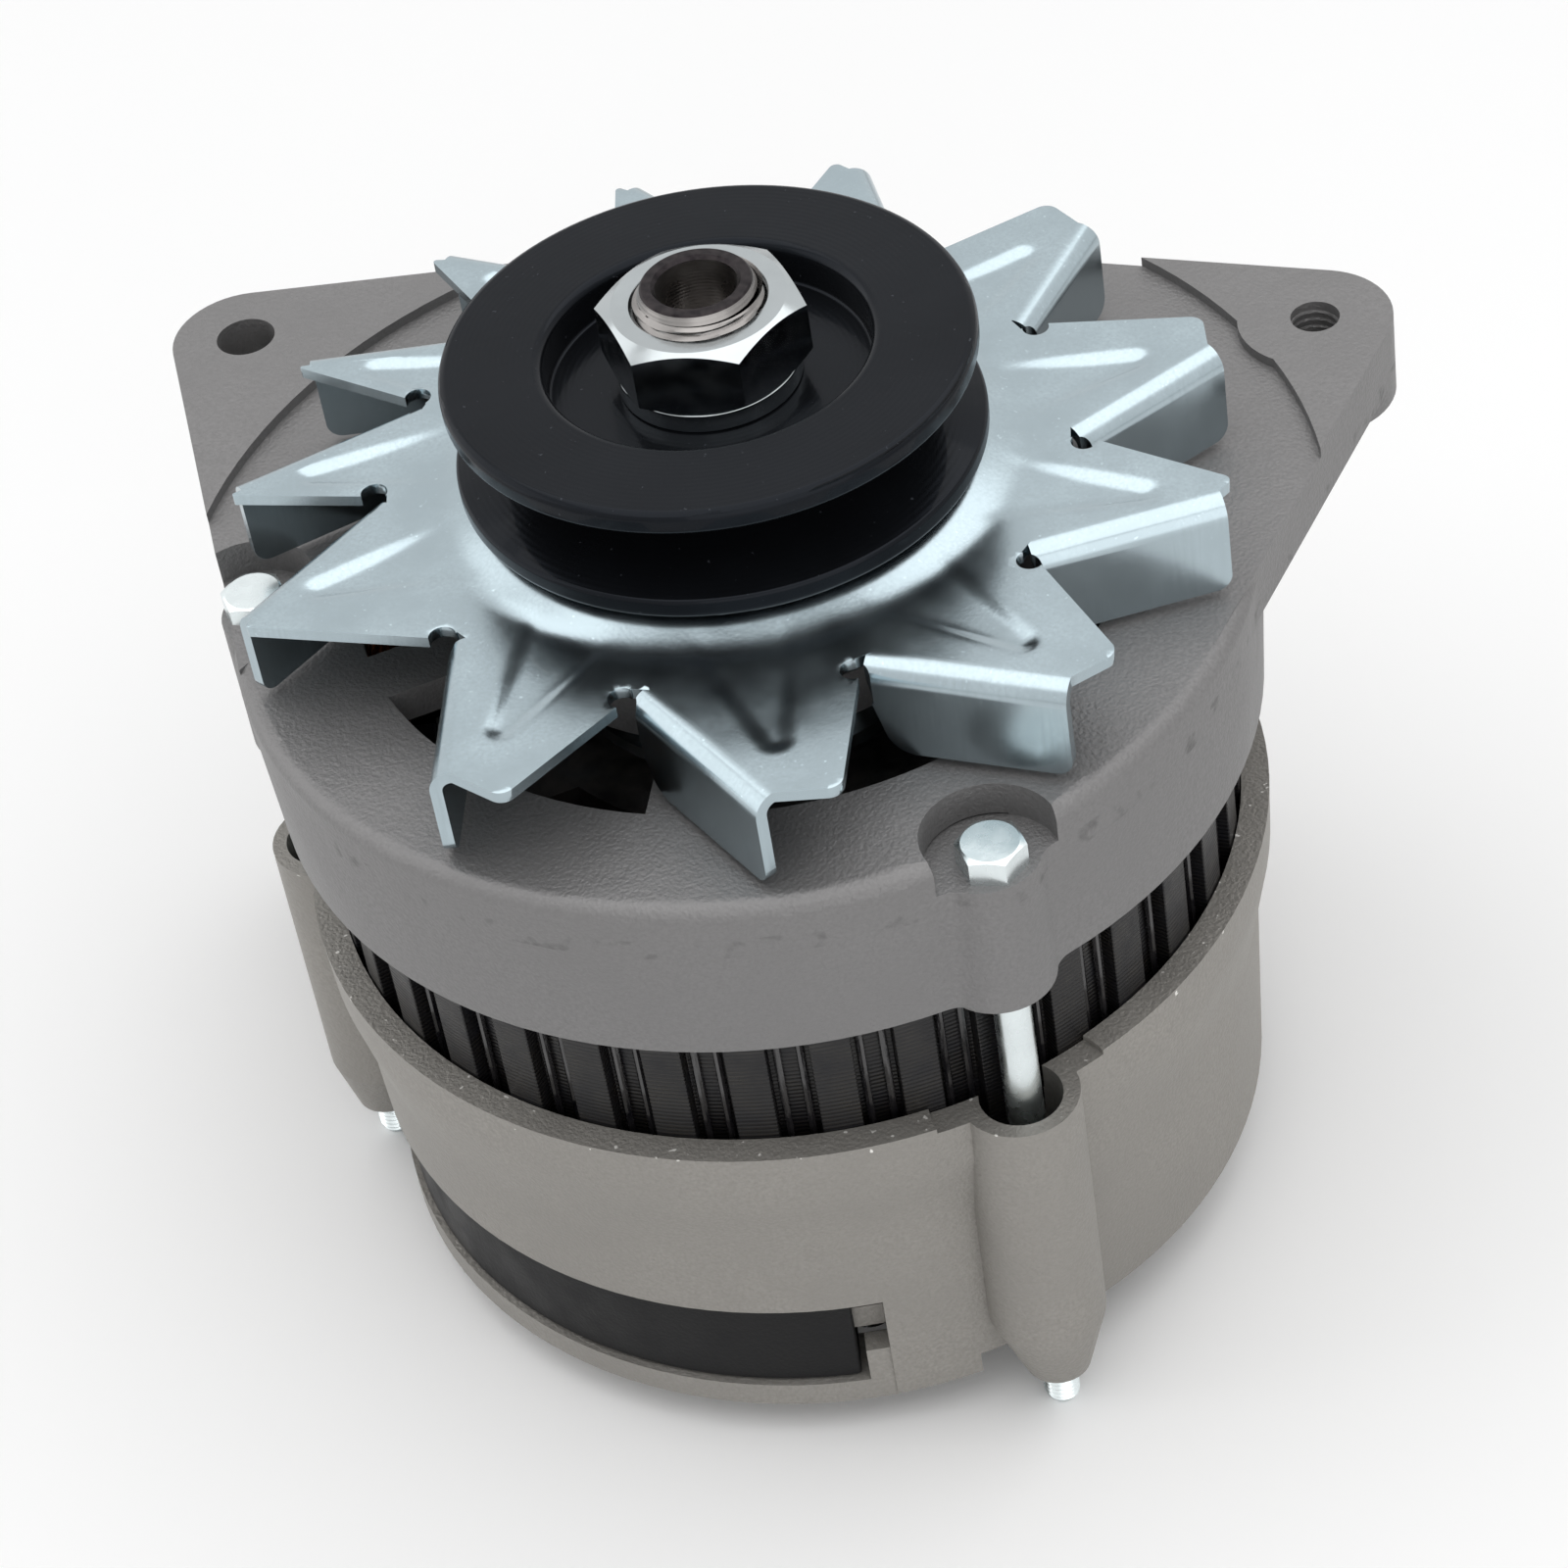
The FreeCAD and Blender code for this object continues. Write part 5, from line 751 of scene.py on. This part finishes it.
class BuildFan(bpy.types.Operator):
    """Dresses the folded sheet fan and presses a panel into each blade"""

    bl_idname = "alternator.build_fan"
    bl_label = "Fan"

    def execute(self, context):
        settings = context.scene.alternator_drive
        sheet = zinc_sheet("bright zinc sheet", settings.sheet_colour)
        piece = rounded_copy("folded_fan", "fan", settings.sheet_edge, segments=2)
        piece.modifiers["rounded edges"].limit_method = "WEIGHT"
        self.press(piece.data, settings)
        finished(piece, "rotor", sheet, ["fan"])
        return {"FINISHED"}

    def press(self, mesh, settings):
        """Meshes the sheet's upper face finely and presses the panels in."""
        shape = bmesh.new()
        shape.from_mesh(mesh)
        upper = {face for face in shape.faces if self.is_upper(face)}
        rim = [edge for edge in shape.edges if len(upper.intersection(edge.link_faces)) == 1]
        bmesh.ops.delete(shape, geom=list(upper), context="FACES")
        corners = list({corner for edge in rim for corner in edge.verts})
        number = {corner: index for index, corner in enumerate(corners)}
        links = [(number[edge.verts[0]], number[edge.verts[1]]) for edge in rim]
        flat = [corner.co.xy / MM for corner in corners]
        inside = self.grid_points([(flat[a], flat[b]) for a, b in links])
        keep_inside, nearest = 1, 1e-4
        places, _, faces, sources, _, _ = delaunay_2d_cdt(flat + inside, links, [], keep_inside, nearest)
        roots = [blade[0] for blade in FAN_BLADES[1:]] + [FAN_BLADES[0][0] + 360]
        panels = [self.panel(*blade, following) for blade, following in zip(FAN_BLADES, roots)]
        depth = settings.panel_depth / MM
        placed = []
        fresh = set()
        for place, source in zip(places, sources):
            if source and source[0] < len(corners):
                placed.append(corners[source[0]])
                continue
            share = max(self.pressed(place, panel) for panel in panels)
            height = self.dish(place.length) - depth * share
            placed.append(shape.verts.new((place.x * MM, place.y * MM, height * MM)))
            fresh.add(placed[-1])
        for face in faces:
            middle = sum((places[index] for index in face), Vector((0, 0))) / len(face)
            in_keyway = 0 < middle.x < KEYWAY_REACH and abs(middle.y) < KEYWAY_WIDTH / 2
            if middle.length > BORE_RADIUS and not in_keyway:
                shape.faces.new([placed[index] for index in face])
        loose = [corner for corner in shape.verts if not corner.link_faces]
        bmesh.ops.delete(shape, geom=loose, context="VERTS")
        self.weigh_edges(shape, fresh)
        shape.to_mesh(mesh)
        shape.free()
        mesh.shade_smooth()

    def weigh_edges(self, shape, fresh, sharp=math.radians(40)):
        """Marks the sheet's cut edges for rounding, not the pressed face."""
        layer = shape.edges.layers.float.new("bevel_weight_edge")
        for edge in shape.edges:
            cut = len(edge.link_faces) == 2 and fresh.isdisjoint(edge.verts)
            if cut and edge.calc_face_angle() > sharp:
                edge[layer] = 1.0

    def is_upper(self, face):
        """True on the upper face, but not under the hub or in the bore."""
        slack, underside = 0.02, -0.5
        above = min(corner.co.z for corner in face.verts) > (PLATE_TOP - slack) * MM
        outermost = max(corner.co.xy.length for corner in face.verts)
        return above and face.normal.z > underside and outermost > HUB_RADIUS * MM

    def grid_points(self, edges, step=0.8, margin=0.5):
        """Points on a triangular grid that stay clear of the sheet's edges."""
        rise = step * math.sqrt(0.75)
        samples = []
        for start, end in edges:
            count = max(1, round((end - start).length / margin))
            samples += [start.lerp(end, share / count) for share in range(count + 1)]
        near = KDTree(len(samples))
        for index, sample in enumerate(samples):
            near.insert(sample.to_3d(), index)
        near.balance()
        points = []
        rows = round(2 * FAN_RADIUS / rise)
        columns = round(2 * FAN_RADIUS / step)
        for row in range(rows + 1):
            for column in range(columns + 1):
                across = (column + 0.5 * (row % 2)) * step - FAN_RADIUS
                point = Vector((across, row * rise - FAN_RADIUS))
                if point.length < FAN_RADIUS and near.find(point.to_3d())[2] > margin:
                    points.append(point)
        return points

    def dish(self, reach):
        """Height of the sheet: level hub, a soft slope, level blades."""
        share = eased((reach - HUB_RADIUS) / (CONE_RADIUS - HUB_RADIUS))
        return HUB_TOP + (PLATE_TOP - HUB_TOP) * share

    def panel(self, root, tip, corner, following, turned_back=1.0):
        """The middle line of one blade's panel, from the hub outwards.

        All its values are directions round the shaft, in degrees."""
        foot = polar(PANEL_FOOT, (root + following) / 2, 0).xy / MM
        end = polar(PANEL_END, (tip + corner) / 2 - turned_back, 0).xy / MM
        return foot, end

    def pressed(self, place, panel, half=7.6, tip=2.6, wall=2.4):
        """1 on the floor of a panel, 0 outside it, smooth on its wall."""
        foot, end = panel
        way = end - foot
        length = way.length
        way = way / length
        along = (place - foot).dot(way)
        if along < -wall:
            return 0.0
        across = abs((place - foot).cross(way))
        width = half + (tip - half) * min(1.0, max(0.0, along / (length - tip)))
        beyond = max(0.0, along - (length - tip))
        away = math.hypot(across, beyond) - width
        fade = eased((place.length - PANEL_FADE) / (PANEL_FULL - PANEL_FADE))
        return eased(-away / wall) * fade


class BuildPulley(bpy.types.Operator):
    """Dresses the V-belt pulley"""

    bl_idname = "alternator.build_pulley"
    bl_label = "Pulley"

    def execute(self, context):
        settings = context.scene.alternator_drive
        enamel = black_enamel("stoved black enamel", settings.pulley_colour)
        piece = rounded_copy("belt_pulley", "pulley", settings.pulley_edge, segments=3)
        finished(piece, "rotor", enamel, ["pulley"])
        return {"FINISHED"}


class BuildShaft(bpy.types.Operator):
    """Builds the threaded shaft end, its nut, washer, collars and key"""

    bl_idname = "alternator.build_shaft"
    bl_label = "Shaft and nut"

    def execute(self, context):
        drive = context.scene.alternator_drive
        hardware = context.scene.alternator_hardware
        steel = turned_steel("turned steel", hardware.steel_colour)
        zinc = plated_hardware("bright zinc hardware", hardware.zinc_colour)
        self.shaft(drive, steel, blackened_steel("blackened shaft end"))
        nut_low, nut_high = node_span("shaft_nut")
        flats = nut_high[0] - nut_low[0]
        clearance = 0.05
        shape = chamfered_hexagon(
            flats, nut_low[2], nut_high[2], bore=SHAFT_RADIUS + clearance, both=True,
            slope=math.tan(math.radians(30)),
        )
        piece = mesh_piece("hexagon_nut", *shape, smooth_angle=22.0)
        finished(piece, "rotor", zinc, ["shaft_nut"])
        piece = rounded_copy("split_washer", "spring_washer", radius=0.3 * MM)
        finished(piece, "rotor", zinc, ["spring_washer"])
        piece = rounded_copy("fan_spacer", "fan_collar", radius=0.5 * MM)
        finished(piece, "rotor", zinc, ["fan_collar"])
        coat(steel, "thrust_collar", "half_round_key")
        return {"FINISHED"}

    def shaft(self, drive, finish, dark):
        """The whole shaft: a thread, turned steps and a blackened end."""
        low, high = node_span("rotor_shaft")
        bottom, top = low[2], high[2]
        bevel, chamfer, land = 1.3, 0.6, 0.25
        pitch = drive.thread_pitch / MM
        in_nut = 1.0
        thread_low = node_span("shaft_nut")[1][2] - in_nut
        bearing_low = node_span("front_bearing_inner_ring")[0][2]
        shoulder = node_span("claw_pole_rear")[0][2] - 2.0
        rear_top = node_span("rear_bearing_inner_ring")[1][2]
        depth = 0.75
        profile = [
            (SHAFT_RADIUS - depth, thread_low),
            (SHAFT_RADIUS, thread_low - depth),
            (SHAFT_RADIUS, bearing_low),
            (POLE_SEAT, bearing_low),
            (POLE_SEAT, shoulder),
            (TAIL_RADIUS, shoulder - (POLE_SEAT - TAIL_RADIUS)),
            (TAIL_RADIUS, rear_top),
            (RING_SEAT, rear_top),
            (RING_SEAT, bottom + chamfer),
            (RING_SEAT - chamfer, bottom),
            (CLOSED, bottom),
        ]
        thread = thread_rod(SHAFT_RADIUS, depth, pitch, thread_low, top - bevel)
        edge = [(SHAFT_RADIUS - depth, top - bevel), (SHAFT_RADIUS - bevel + 0.1, top - land)]
        end = [
            edge[-1],
            (SHAFT_RADIUS - bevel - 0.15, top),
            (SOCKET_RADIUS + 0.45, top),
            (SOCKET_RADIUS, top - 2 * land),
        ]
        wall = [end[-1], (SOCKET_RADIUS, top - SOCKET_LIP)]
        corners, faces = gather(lathe(profile), thread, lathe(edge), lathe(wall), self.socket(top))
        piece = mesh_piece("threaded_shaft", corners, faces, smooth_angle=30.0)
        finished(piece, "rotor", finish, ["rotor_shaft"])
        piece = mesh_piece("shaft_end", *lathe(end), smooth_angle=30.0)
        finished(piece, "rotor", dark)

    def socket(self, top):
        """The blind hole: a drilled wall and a bottom torn by the punch.

        Each row is a share of the depth and a share of the radius."""
        steps = 96
        rows = [(0.0, 1.0), (0.55, 0.985), (0.8, 0.95), (0.93, 0.82), (1.0, 0.55), (0.96, 0.2)]
        floor_gap, torn_from = 0.6, 0.9
        corners = []
        for depth, share in rows:
            for step in range(steps):
                angle = FULL_TURN * step / steps
                torn = 0.35 * math.sin(5 * angle) + 0.2 * math.sin(11 * angle)
                height = top - SOCKET_LIP - (SOCKET_DEPTH - SOCKET_LIP - floor_gap) * depth
                if depth > torn_from:
                    height += torn
                corners.append(polar(SOCKET_RADIUS * share, 360 * step / steps, height))
        faces = ring_faces(len(rows), steps)
        faces.append([(len(rows) - 1) * steps + step for step in range(steps)])
        return corners, faces


class BuildThroughBolts(bpy.types.Operator):
    """Builds the three long bolts that clamp the brackets together"""

    bl_idname = "alternator.build_through_bolts"
    bl_label = "Through bolts"

    def execute(self, context):
        hardware = context.scene.alternator_hardware
        # The bolts' zinc is lighter than the nut's: a painted highlight for the glint on their heads, on top
        # of the plating's own colour
        zinc = plated_hardware("cold-headed zinc bolts with painted highlight", hardware.bolt_colour_with_painted_highlight, smoothest=0.22)
        low, high = node_span("through_bolts")
        pitch = hardware.bolt_pitch / MM
        flats, head_height, depth, point = 8.0, 3.8, 0.35, 1.2
        tip, top = low[2], high[2]
        seat = top - head_height
        thread_top = tip + 13.6
        head = chamfered_hexagon(flats, seat, top, land=0.93, slope=0.5)
        shank = lathe([
            (BOLT_RADIUS, seat),
            (BOLT_RADIUS, thread_top + 0.4),
            (BOLT_RADIUS - depth, thread_top - 0.1),
        ], steps=48)
        thread = thread_rod(BOLT_RADIUS, depth, pitch, tip + point, thread_top, steps=40)
        end = lathe([
            (BOLT_RADIUS - 0.2, tip + point),
            (BOLT_RADIUS - 0.8, tip + 0.2),
            (BOLT_RADIUS - 1.3, tip),
            (CLOSED, tip),
        ], steps=40)
        shapes = []
        for angle in BOLT_ANGLES:
            move = Matrix.Translation(polar(BOLT_CIRCLE, angle, 0))
            shapes += [(*part, move) for part in (head, shank, thread, end)]
        corners, faces = gather(*shapes)
        piece = mesh_piece("clamping_bolts", corners, faces, smooth_angle=24.0)
        finished(piece, "housing", zinc, ["through_bolts"])
        return {"FINISHED"}


class BuildStator(bpy.types.Operator):
    """Dresses the laminated core and winds its wire heads"""

    bl_idname = "alternator.build_stator"
    bl_label = "Stator"

    def execute(self, context):
        settings = context.scene.alternator_stator
        core = varnished_laminations("varnished laminations", settings.varnish_colour, settings.sheet_pitch)
        gloss = gloss_varnish("runs of black varnish", settings.varnish_colour)
        copper = enamelled_wire("enamelled copper", settings.copper_colour)
        piece = rounded_copy("laminated_core", "stator_core", radius=0.25 * MM)
        finished(piece, "housing", core, ["stator_core"])
        self.beads(gloss)
        self.heads(settings, copper)
        return {"FINISHED"}

    def beads(self, finish):
        """Two beads of varnish that have run down each channel of the core."""
        low, high = node_span("stator_core")
        bottom, top = low[2], high[2]
        aside, sunk, bead, gap = 1.55, 1.9, 0.55, 0.3
        heights = (bottom + gap, bottom + 8, bottom + 17, top - 8, top - gap)
        shapes = []
        for slot in range(SLOTS):
            for side in (-aside, aside):
                angle = 360 * slot / SLOTS + math.degrees(side / CORE_RADIUS)
                path = [polar(CORE_RADIUS - sunk, angle, height) for height in heights]
                shapes.append(tube(path, bead * MM))
        finished(mesh_piece("varnish_beads", *gather(*shapes)), "housing", finish)

    def heads(self, settings, finish):
        """Wire bundles that loop from slot to slot at both ends of the core."""
        low, high = node_span("stator_core")
        inner, spread, pitch, crown, fullness, sunk = 50.6, 6.0, 30, 10.2, 0.55, 0.4
        lacing_reach, lacing_height, lacing_radius = 53.6, 11.0, 1.1
        steps = 14
        shapes = []
        for face, way in ((high[2], 1), (low[2], -1)):
            for number in range(settings.bundles):
                start = 360 * number / settings.bundles
                path = []
                for step in range(steps + 1):
                    share = step / steps
                    turn = start + pitch * (1 - math.cos(math.pi * share)) / 2
                    rise = crown * math.sin(math.pi * share) ** fullness if 0 < share < 1 else 0.0
                    path.append(polar(inner + spread * share, turn, face + way * (rise - sunk)))
                shapes.append(tube(path, settings.bundle_radius))
            lacing = [polar(lacing_reach, angle, face + way * lacing_height) for angle in range(0, 361, 6)]
            shapes.append(tube(lacing, lacing_radius * MM, capped=False))
        piece = mesh_piece("winding_heads", *gather(*shapes))
        finished(piece, "housing", finish, ["stator_windings"])


class BuildRotorCore(bpy.types.Operator):
    """Dresses the claw poles, field coil, slip rings and bearings"""

    bl_idname = "alternator.build_rotor_core"
    bl_label = "Rotor and bearings"

    def execute(self, context):
        stator = context.scene.alternator_stator
        electric = context.scene.alternator_electric
        iron = forged_iron("lacquered soft iron")
        for node in ("claw_pole_front", "claw_pole_rear"):
            piece = rounded_copy(f"{node}_forging", node, radius=0.6 * MM)
            finished(piece, "rotor", iron, [node])
        coat(iron, "rotor_yoke")
        coat(enamelled_wire("field coil wire", stator.copper_colour, wire=0.8), "field_coil")
        coat(moulded_nylon("phenolic bobbin", electric.phenolic_colour), "field_bobbin", "slip_ring_core")
        coat(turned_copper("slip-ring copper"), "slip_rings")
        bearing = ground_steel("ground bearing steel")
        coat(
            bearing, "front_bearing_outer_ring", "front_bearing_inner_ring", "front_bearing_balls",
            "rear_bearing_outer_ring", "rear_bearing_inner_ring", "rear_bearing_balls",
        )
        hardware = context.scene.alternator_hardware
        coat(plated_hardware("zinc retainer", hardware.zinc_colour), "bearing_retainer", "retainer_screws")
        return {"FINISHED"}


class BuildRectifier(bpy.types.Operator):
    """Dresses the rectifier, its shield and the output terminals"""

    bl_idname = "alternator.build_rectifier"
    bl_label = "Rectifier and terminals"

    def execute(self, context):
        electric = context.scene.alternator_electric
        hardware = context.scene.alternator_hardware
        nylon = moulded_nylon("black shield nylon", electric.moulding_colour)
        zinc = plated_hardware("zinc rear hardware", hardware.zinc_colour)
        phenolic = moulded_nylon("phenolic insulators", electric.phenolic_colour)
        piece = rounded_copy("side_shield", "rectifier_shield", electric.moulded_edge)
        finished(piece, "housing", nylon, ["rectifier_shield"])
        coat(stamped_aluminium("stamped aluminium"), "positive_heat_sink", "negative_heat_sink")
        coat(zinc, "positive_diodes", "negative_diodes", "rectifier_screws", "phase_terminal")
        coat(phenolic, "rectifier_spacers", "output_bush", "phase_terminal_block")
        self.stud(zinc)
        piece = rounded_copy("pivot_sleeve", "pivot_bush", radius=0.5 * MM)
        finished(piece, "housing", zinc, ["pivot_bush"])
        return {"FINISHED"}

    def stud(self, finish):
        """The threaded output stud and its nut, at the nut's own place."""
        low, high = node_span("output_stud")
        bottom, top = low[2], high[2]
        centre = middle_of("output_nut")
        move = Matrix.Translation(Vector((centre[0], centre[1], 0)) * MM)
        radius, depth, pitch = 3.0, 0.5, 1.0
        flats, head_height, point = 10.0, 1.6, 0.8
        nut_low, nut_high = node_span("output_nut")
        thread_top = nut_low[2] - 0.6
        thread = thread_rod(radius, depth, pitch, bottom + point, thread_top, steps=48)
        end = lathe([
            (radius - 0.3, bottom + point),
            (radius - 0.8, bottom + 0.1),
            (radius - 1.1, bottom),
            (CLOSED, bottom),
        ], steps=48)
        shank = lathe([
            (radius - depth, thread_top),
            (STUD_SHANK, thread_top + 0.4),
            (STUD_SHANK, top - head_height),
        ], steps=48)
        head = chamfered_hexagon(flats, top - head_height, top, land=0.93)
        corners, faces = gather(*[(*part, move) for part in (thread, end, shank, head)])
        piece = mesh_piece("battery_stud", corners, faces, smooth_angle=24.0)
        finished(piece, "housing", finish, ["output_stud"])
        bore = STUD_SHANK + 0.02
        nut = chamfered_hexagon(flats, nut_low[2], nut_high[2], bore=bore, both=True)
        piece = mesh_piece("battery_nut", *gather((*nut, move)), smooth_angle=22.0)
        finished(piece, "housing", finish, ["output_nut"])


class BuildRegulator(bpy.types.Operator):
    """Dresses the regulator, the brush holder, the brushes and their springs"""

    bl_idname = "alternator.build_regulator"
    bl_label = "Regulator and brushes"

    def execute(self, context):
        electric = context.scene.alternator_electric
        hardware = context.scene.alternator_hardware
        nylon = moulded_nylon("black regulator nylon", electric.moulding_colour, grain=0.8)
        zinc = plated_hardware("zinc regulator screws", hardware.zinc_colour)
        for name, node in (("regulator_case", "regulator"), ("brush_guides", "brush_holder")):
            piece = rounded_copy(name, node, electric.moulded_edge, segments=3)
            finished(piece, "housing", nylon, [node])
        coat(pressed_carbon("pressed carbon"), "upper_brush", "lower_brush")
        spring = turned_steel("drawn spring wire", hardware.zinc_colour)
        self.spring("upper", spring)
        self.spring("lower", spring)
        coat(zinc, "regulator_screws")
        return {"FINISHED"}

    def spring(self, place, finish, wire=0.3, turns=5, steps=24):
        """A coil spring wound along X through the spring node's box."""
        node = f"{place}_brush_spring"
        low, high = node_span(node)
        middle = middle_of(node)
        coil = (high[2] - low[2]) / 2 - wire
        start, end = low[0] + wire, high[0] - wire
        path = []
        for step in range(turns * steps + 1):
            share = step / (turns * steps)
            angle = FULL_TURN * turns * share
            across = Vector((0, math.sin(angle), math.cos(angle))) * coil
            along = Vector((start + (end - start) * share, middle[1], middle[2]))
            path.append((along + across) * MM)
        piece = mesh_piece(f"{place}_coil_spring", *tube(path, wire * MM))
        piece.data.materials.append(finish)
        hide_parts(node)
        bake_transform(piece)


class BuildStage(bpy.types.Operator):
    """Sets up the floor, the soft lamps and the camera of the photograph"""

    bl_idname = "alternator.build_stage"
    bl_label = "Studio"

    def execute(self, context):
        studio = context.scene.alternator_studio
        self.floor(studio)
        self.world(context)
        self.lamps()
        self.camera(context, studio)
        context.scene.view_settings.view_transform = "Standard"
        return {"FINISHED"}

    def floor(self, studio):
        """A plain pale floor that the alternator stands on."""
        size = 3.0
        height = SOLID_BOX[0][2]
        corners = [(-size, -size, height), (size, -size, height), (size, size, height), (-size, size, height)]
        piece = mesh_piece("studio_floor", corners, [[0, 1, 2, 3]])
        finish, tree, shader, place = new_finish("pale studio floor", 0.0, 0.85)
        clouds = grained(tree, place, 120, 0.2, 0.8)
        tone = blended(tree, clouds, studio.floor_colour, shade(studio.floor_colour, 0.99))
        tree.links.new(tone, shader.inputs["Base Color"])
        piece.data.materials.append(finish)

    def world(self, context):
        """An even room: white to the camera and in reflections, weaker as
        light on the alternator."""
        light_on_object, seen_white = 0.45, 1.0
        world = bpy.data.worlds.new("studio room")
        world.use_nodes = True
        tree = world.node_tree
        light = add(tree, "ShaderNodeLightPath")
        seen = add(
            tree, "ShaderNodeMath", {0: light.outputs["Is Camera Ray"], 1: light.outputs["Is Glossy Ray"]},
            operation="MAXIMUM",
        )
        seen = add(
            tree, "ShaderNodeMath", {0: seen.outputs[0], 1: light.outputs["Is Transmission Ray"]},
            operation="MAXIMUM",
        )
        room = tree.nodes["Background"]
        room.inputs["Color"].default_value = (1, 1, 1, 1)
        limits = {"Value": seen.outputs[0], "To Min": light_on_object, "To Max": seen_white}
        strength = add(tree, "ShaderNodeMapRange", limits)
        tree.links.new(strength.outputs["Result"], room.inputs["Strength"])
        context.scene.world = world

    def lamps(self):
        """A large soft lamp overhead and two weaker ones at the sides.

        Each has its place and size in metres and its power in watts."""
        aim = Vector((0, 0, -0.05))
        for name, place, size, power in (
            ("overhead_softbox", (0.10, 0.10, 0.95), 1.6, 9.4),
            ("left_softbox", (-0.85, -0.45, 0.35), 1.1, 3.0),
            ("right_softbox", (0.75, -0.45, 0.12), 1.1, 3.2),
        ):
            data = bpy.data.lights.new(name, "AREA")
            data.shape = "SQUARE"
            data.size = size
            data.energy = power
            lamp = bpy.data.objects.new(name, data)
            lamp.location = place
            way = aim - Vector(place)
            lamp.rotation_euler = way.to_track_quat("-Z", "Y").to_euler()
            bpy.context.scene.collection.objects.link(lamp)

    def camera(self, context, studio):
        """The photograph's camera, with its slight roll."""
        data = bpy.data.cameras.new("photo camera")
        data.lens = studio.camera_lens
        data.sensor_width = 36.0
        data.clip_start = 0.01
        camera = bpy.data.objects.new("photo_camera", data)
        place = Vector(studio.camera_place)
        way = Vector(studio.camera_target) - place
        level = way.to_track_quat("-Z", "Y").to_matrix().to_4x4()
        roll = Matrix.Rotation(studio.camera_roll, 4, "Z")
        camera.matrix_world = Matrix.Translation(place) @ level @ roll
        context.scene.collection.objects.link(camera)
        context.scene.camera = camera


BUILDERS = (
    BuildCastings, BuildFan, BuildPulley, BuildShaft, BuildThroughBolts,
    BuildStator, BuildRotorCore, BuildRectifier, BuildRegulator, BuildStage,
)
SETTINGS = {
    "alternator_castings": CastingSettings,
    "alternator_drive": DriveSettings,
    "alternator_hardware": HardwareSettings,
    "alternator_stator": StatorSettings,
    "alternator_electric": ElectricSettings,
    "alternator_studio": StudioSettings,
}


class AlternatorPanel(bpy.types.Panel):
    """Lists the pieces and their settings"""

    bl_label = "Alternator"
    bl_idname = "VIEW3D_PT_alternator"
    bl_space_type = "VIEW_3D"
    bl_region_type = "UI"
    bl_category = "Alternator"

    def draw(self, context):
        for attribute, group in SETTINGS.items():
            box = self.layout.box()
            box.label(text=group.__name__.replace("Settings", ""))
            for name in group.__annotations__:
                box.prop(getattr(context.scene, attribute), name)
        for builder in BUILDERS:
            self.layout.operator(builder.bl_idname)


def register():
    for group in SETTINGS.values():
        bpy.utils.register_class(group)
    for attribute, group in SETTINGS.items():
        setattr(bpy.types.Scene, attribute, PointerProperty(type=group))
    for item in (*BUILDERS, AlternatorPanel):
        bpy.utils.register_class(item)


def unregister():
    for item in reversed((*BUILDERS, AlternatorPanel)):
        bpy.utils.unregister_class(item)
    for attribute in SETTINGS:
        delattr(bpy.types.Scene, attribute)
    for group in reversed(list(SETTINGS.values())):
        bpy.utils.unregister_class(group)


def main():
    """Builds every piece in order."""
    register()
    for builder in BUILDERS:
        module, name = builder.bl_idname.split(".")
        getattr(getattr(bpy.ops, module), name)()


if __name__ == "__main__":
    main()
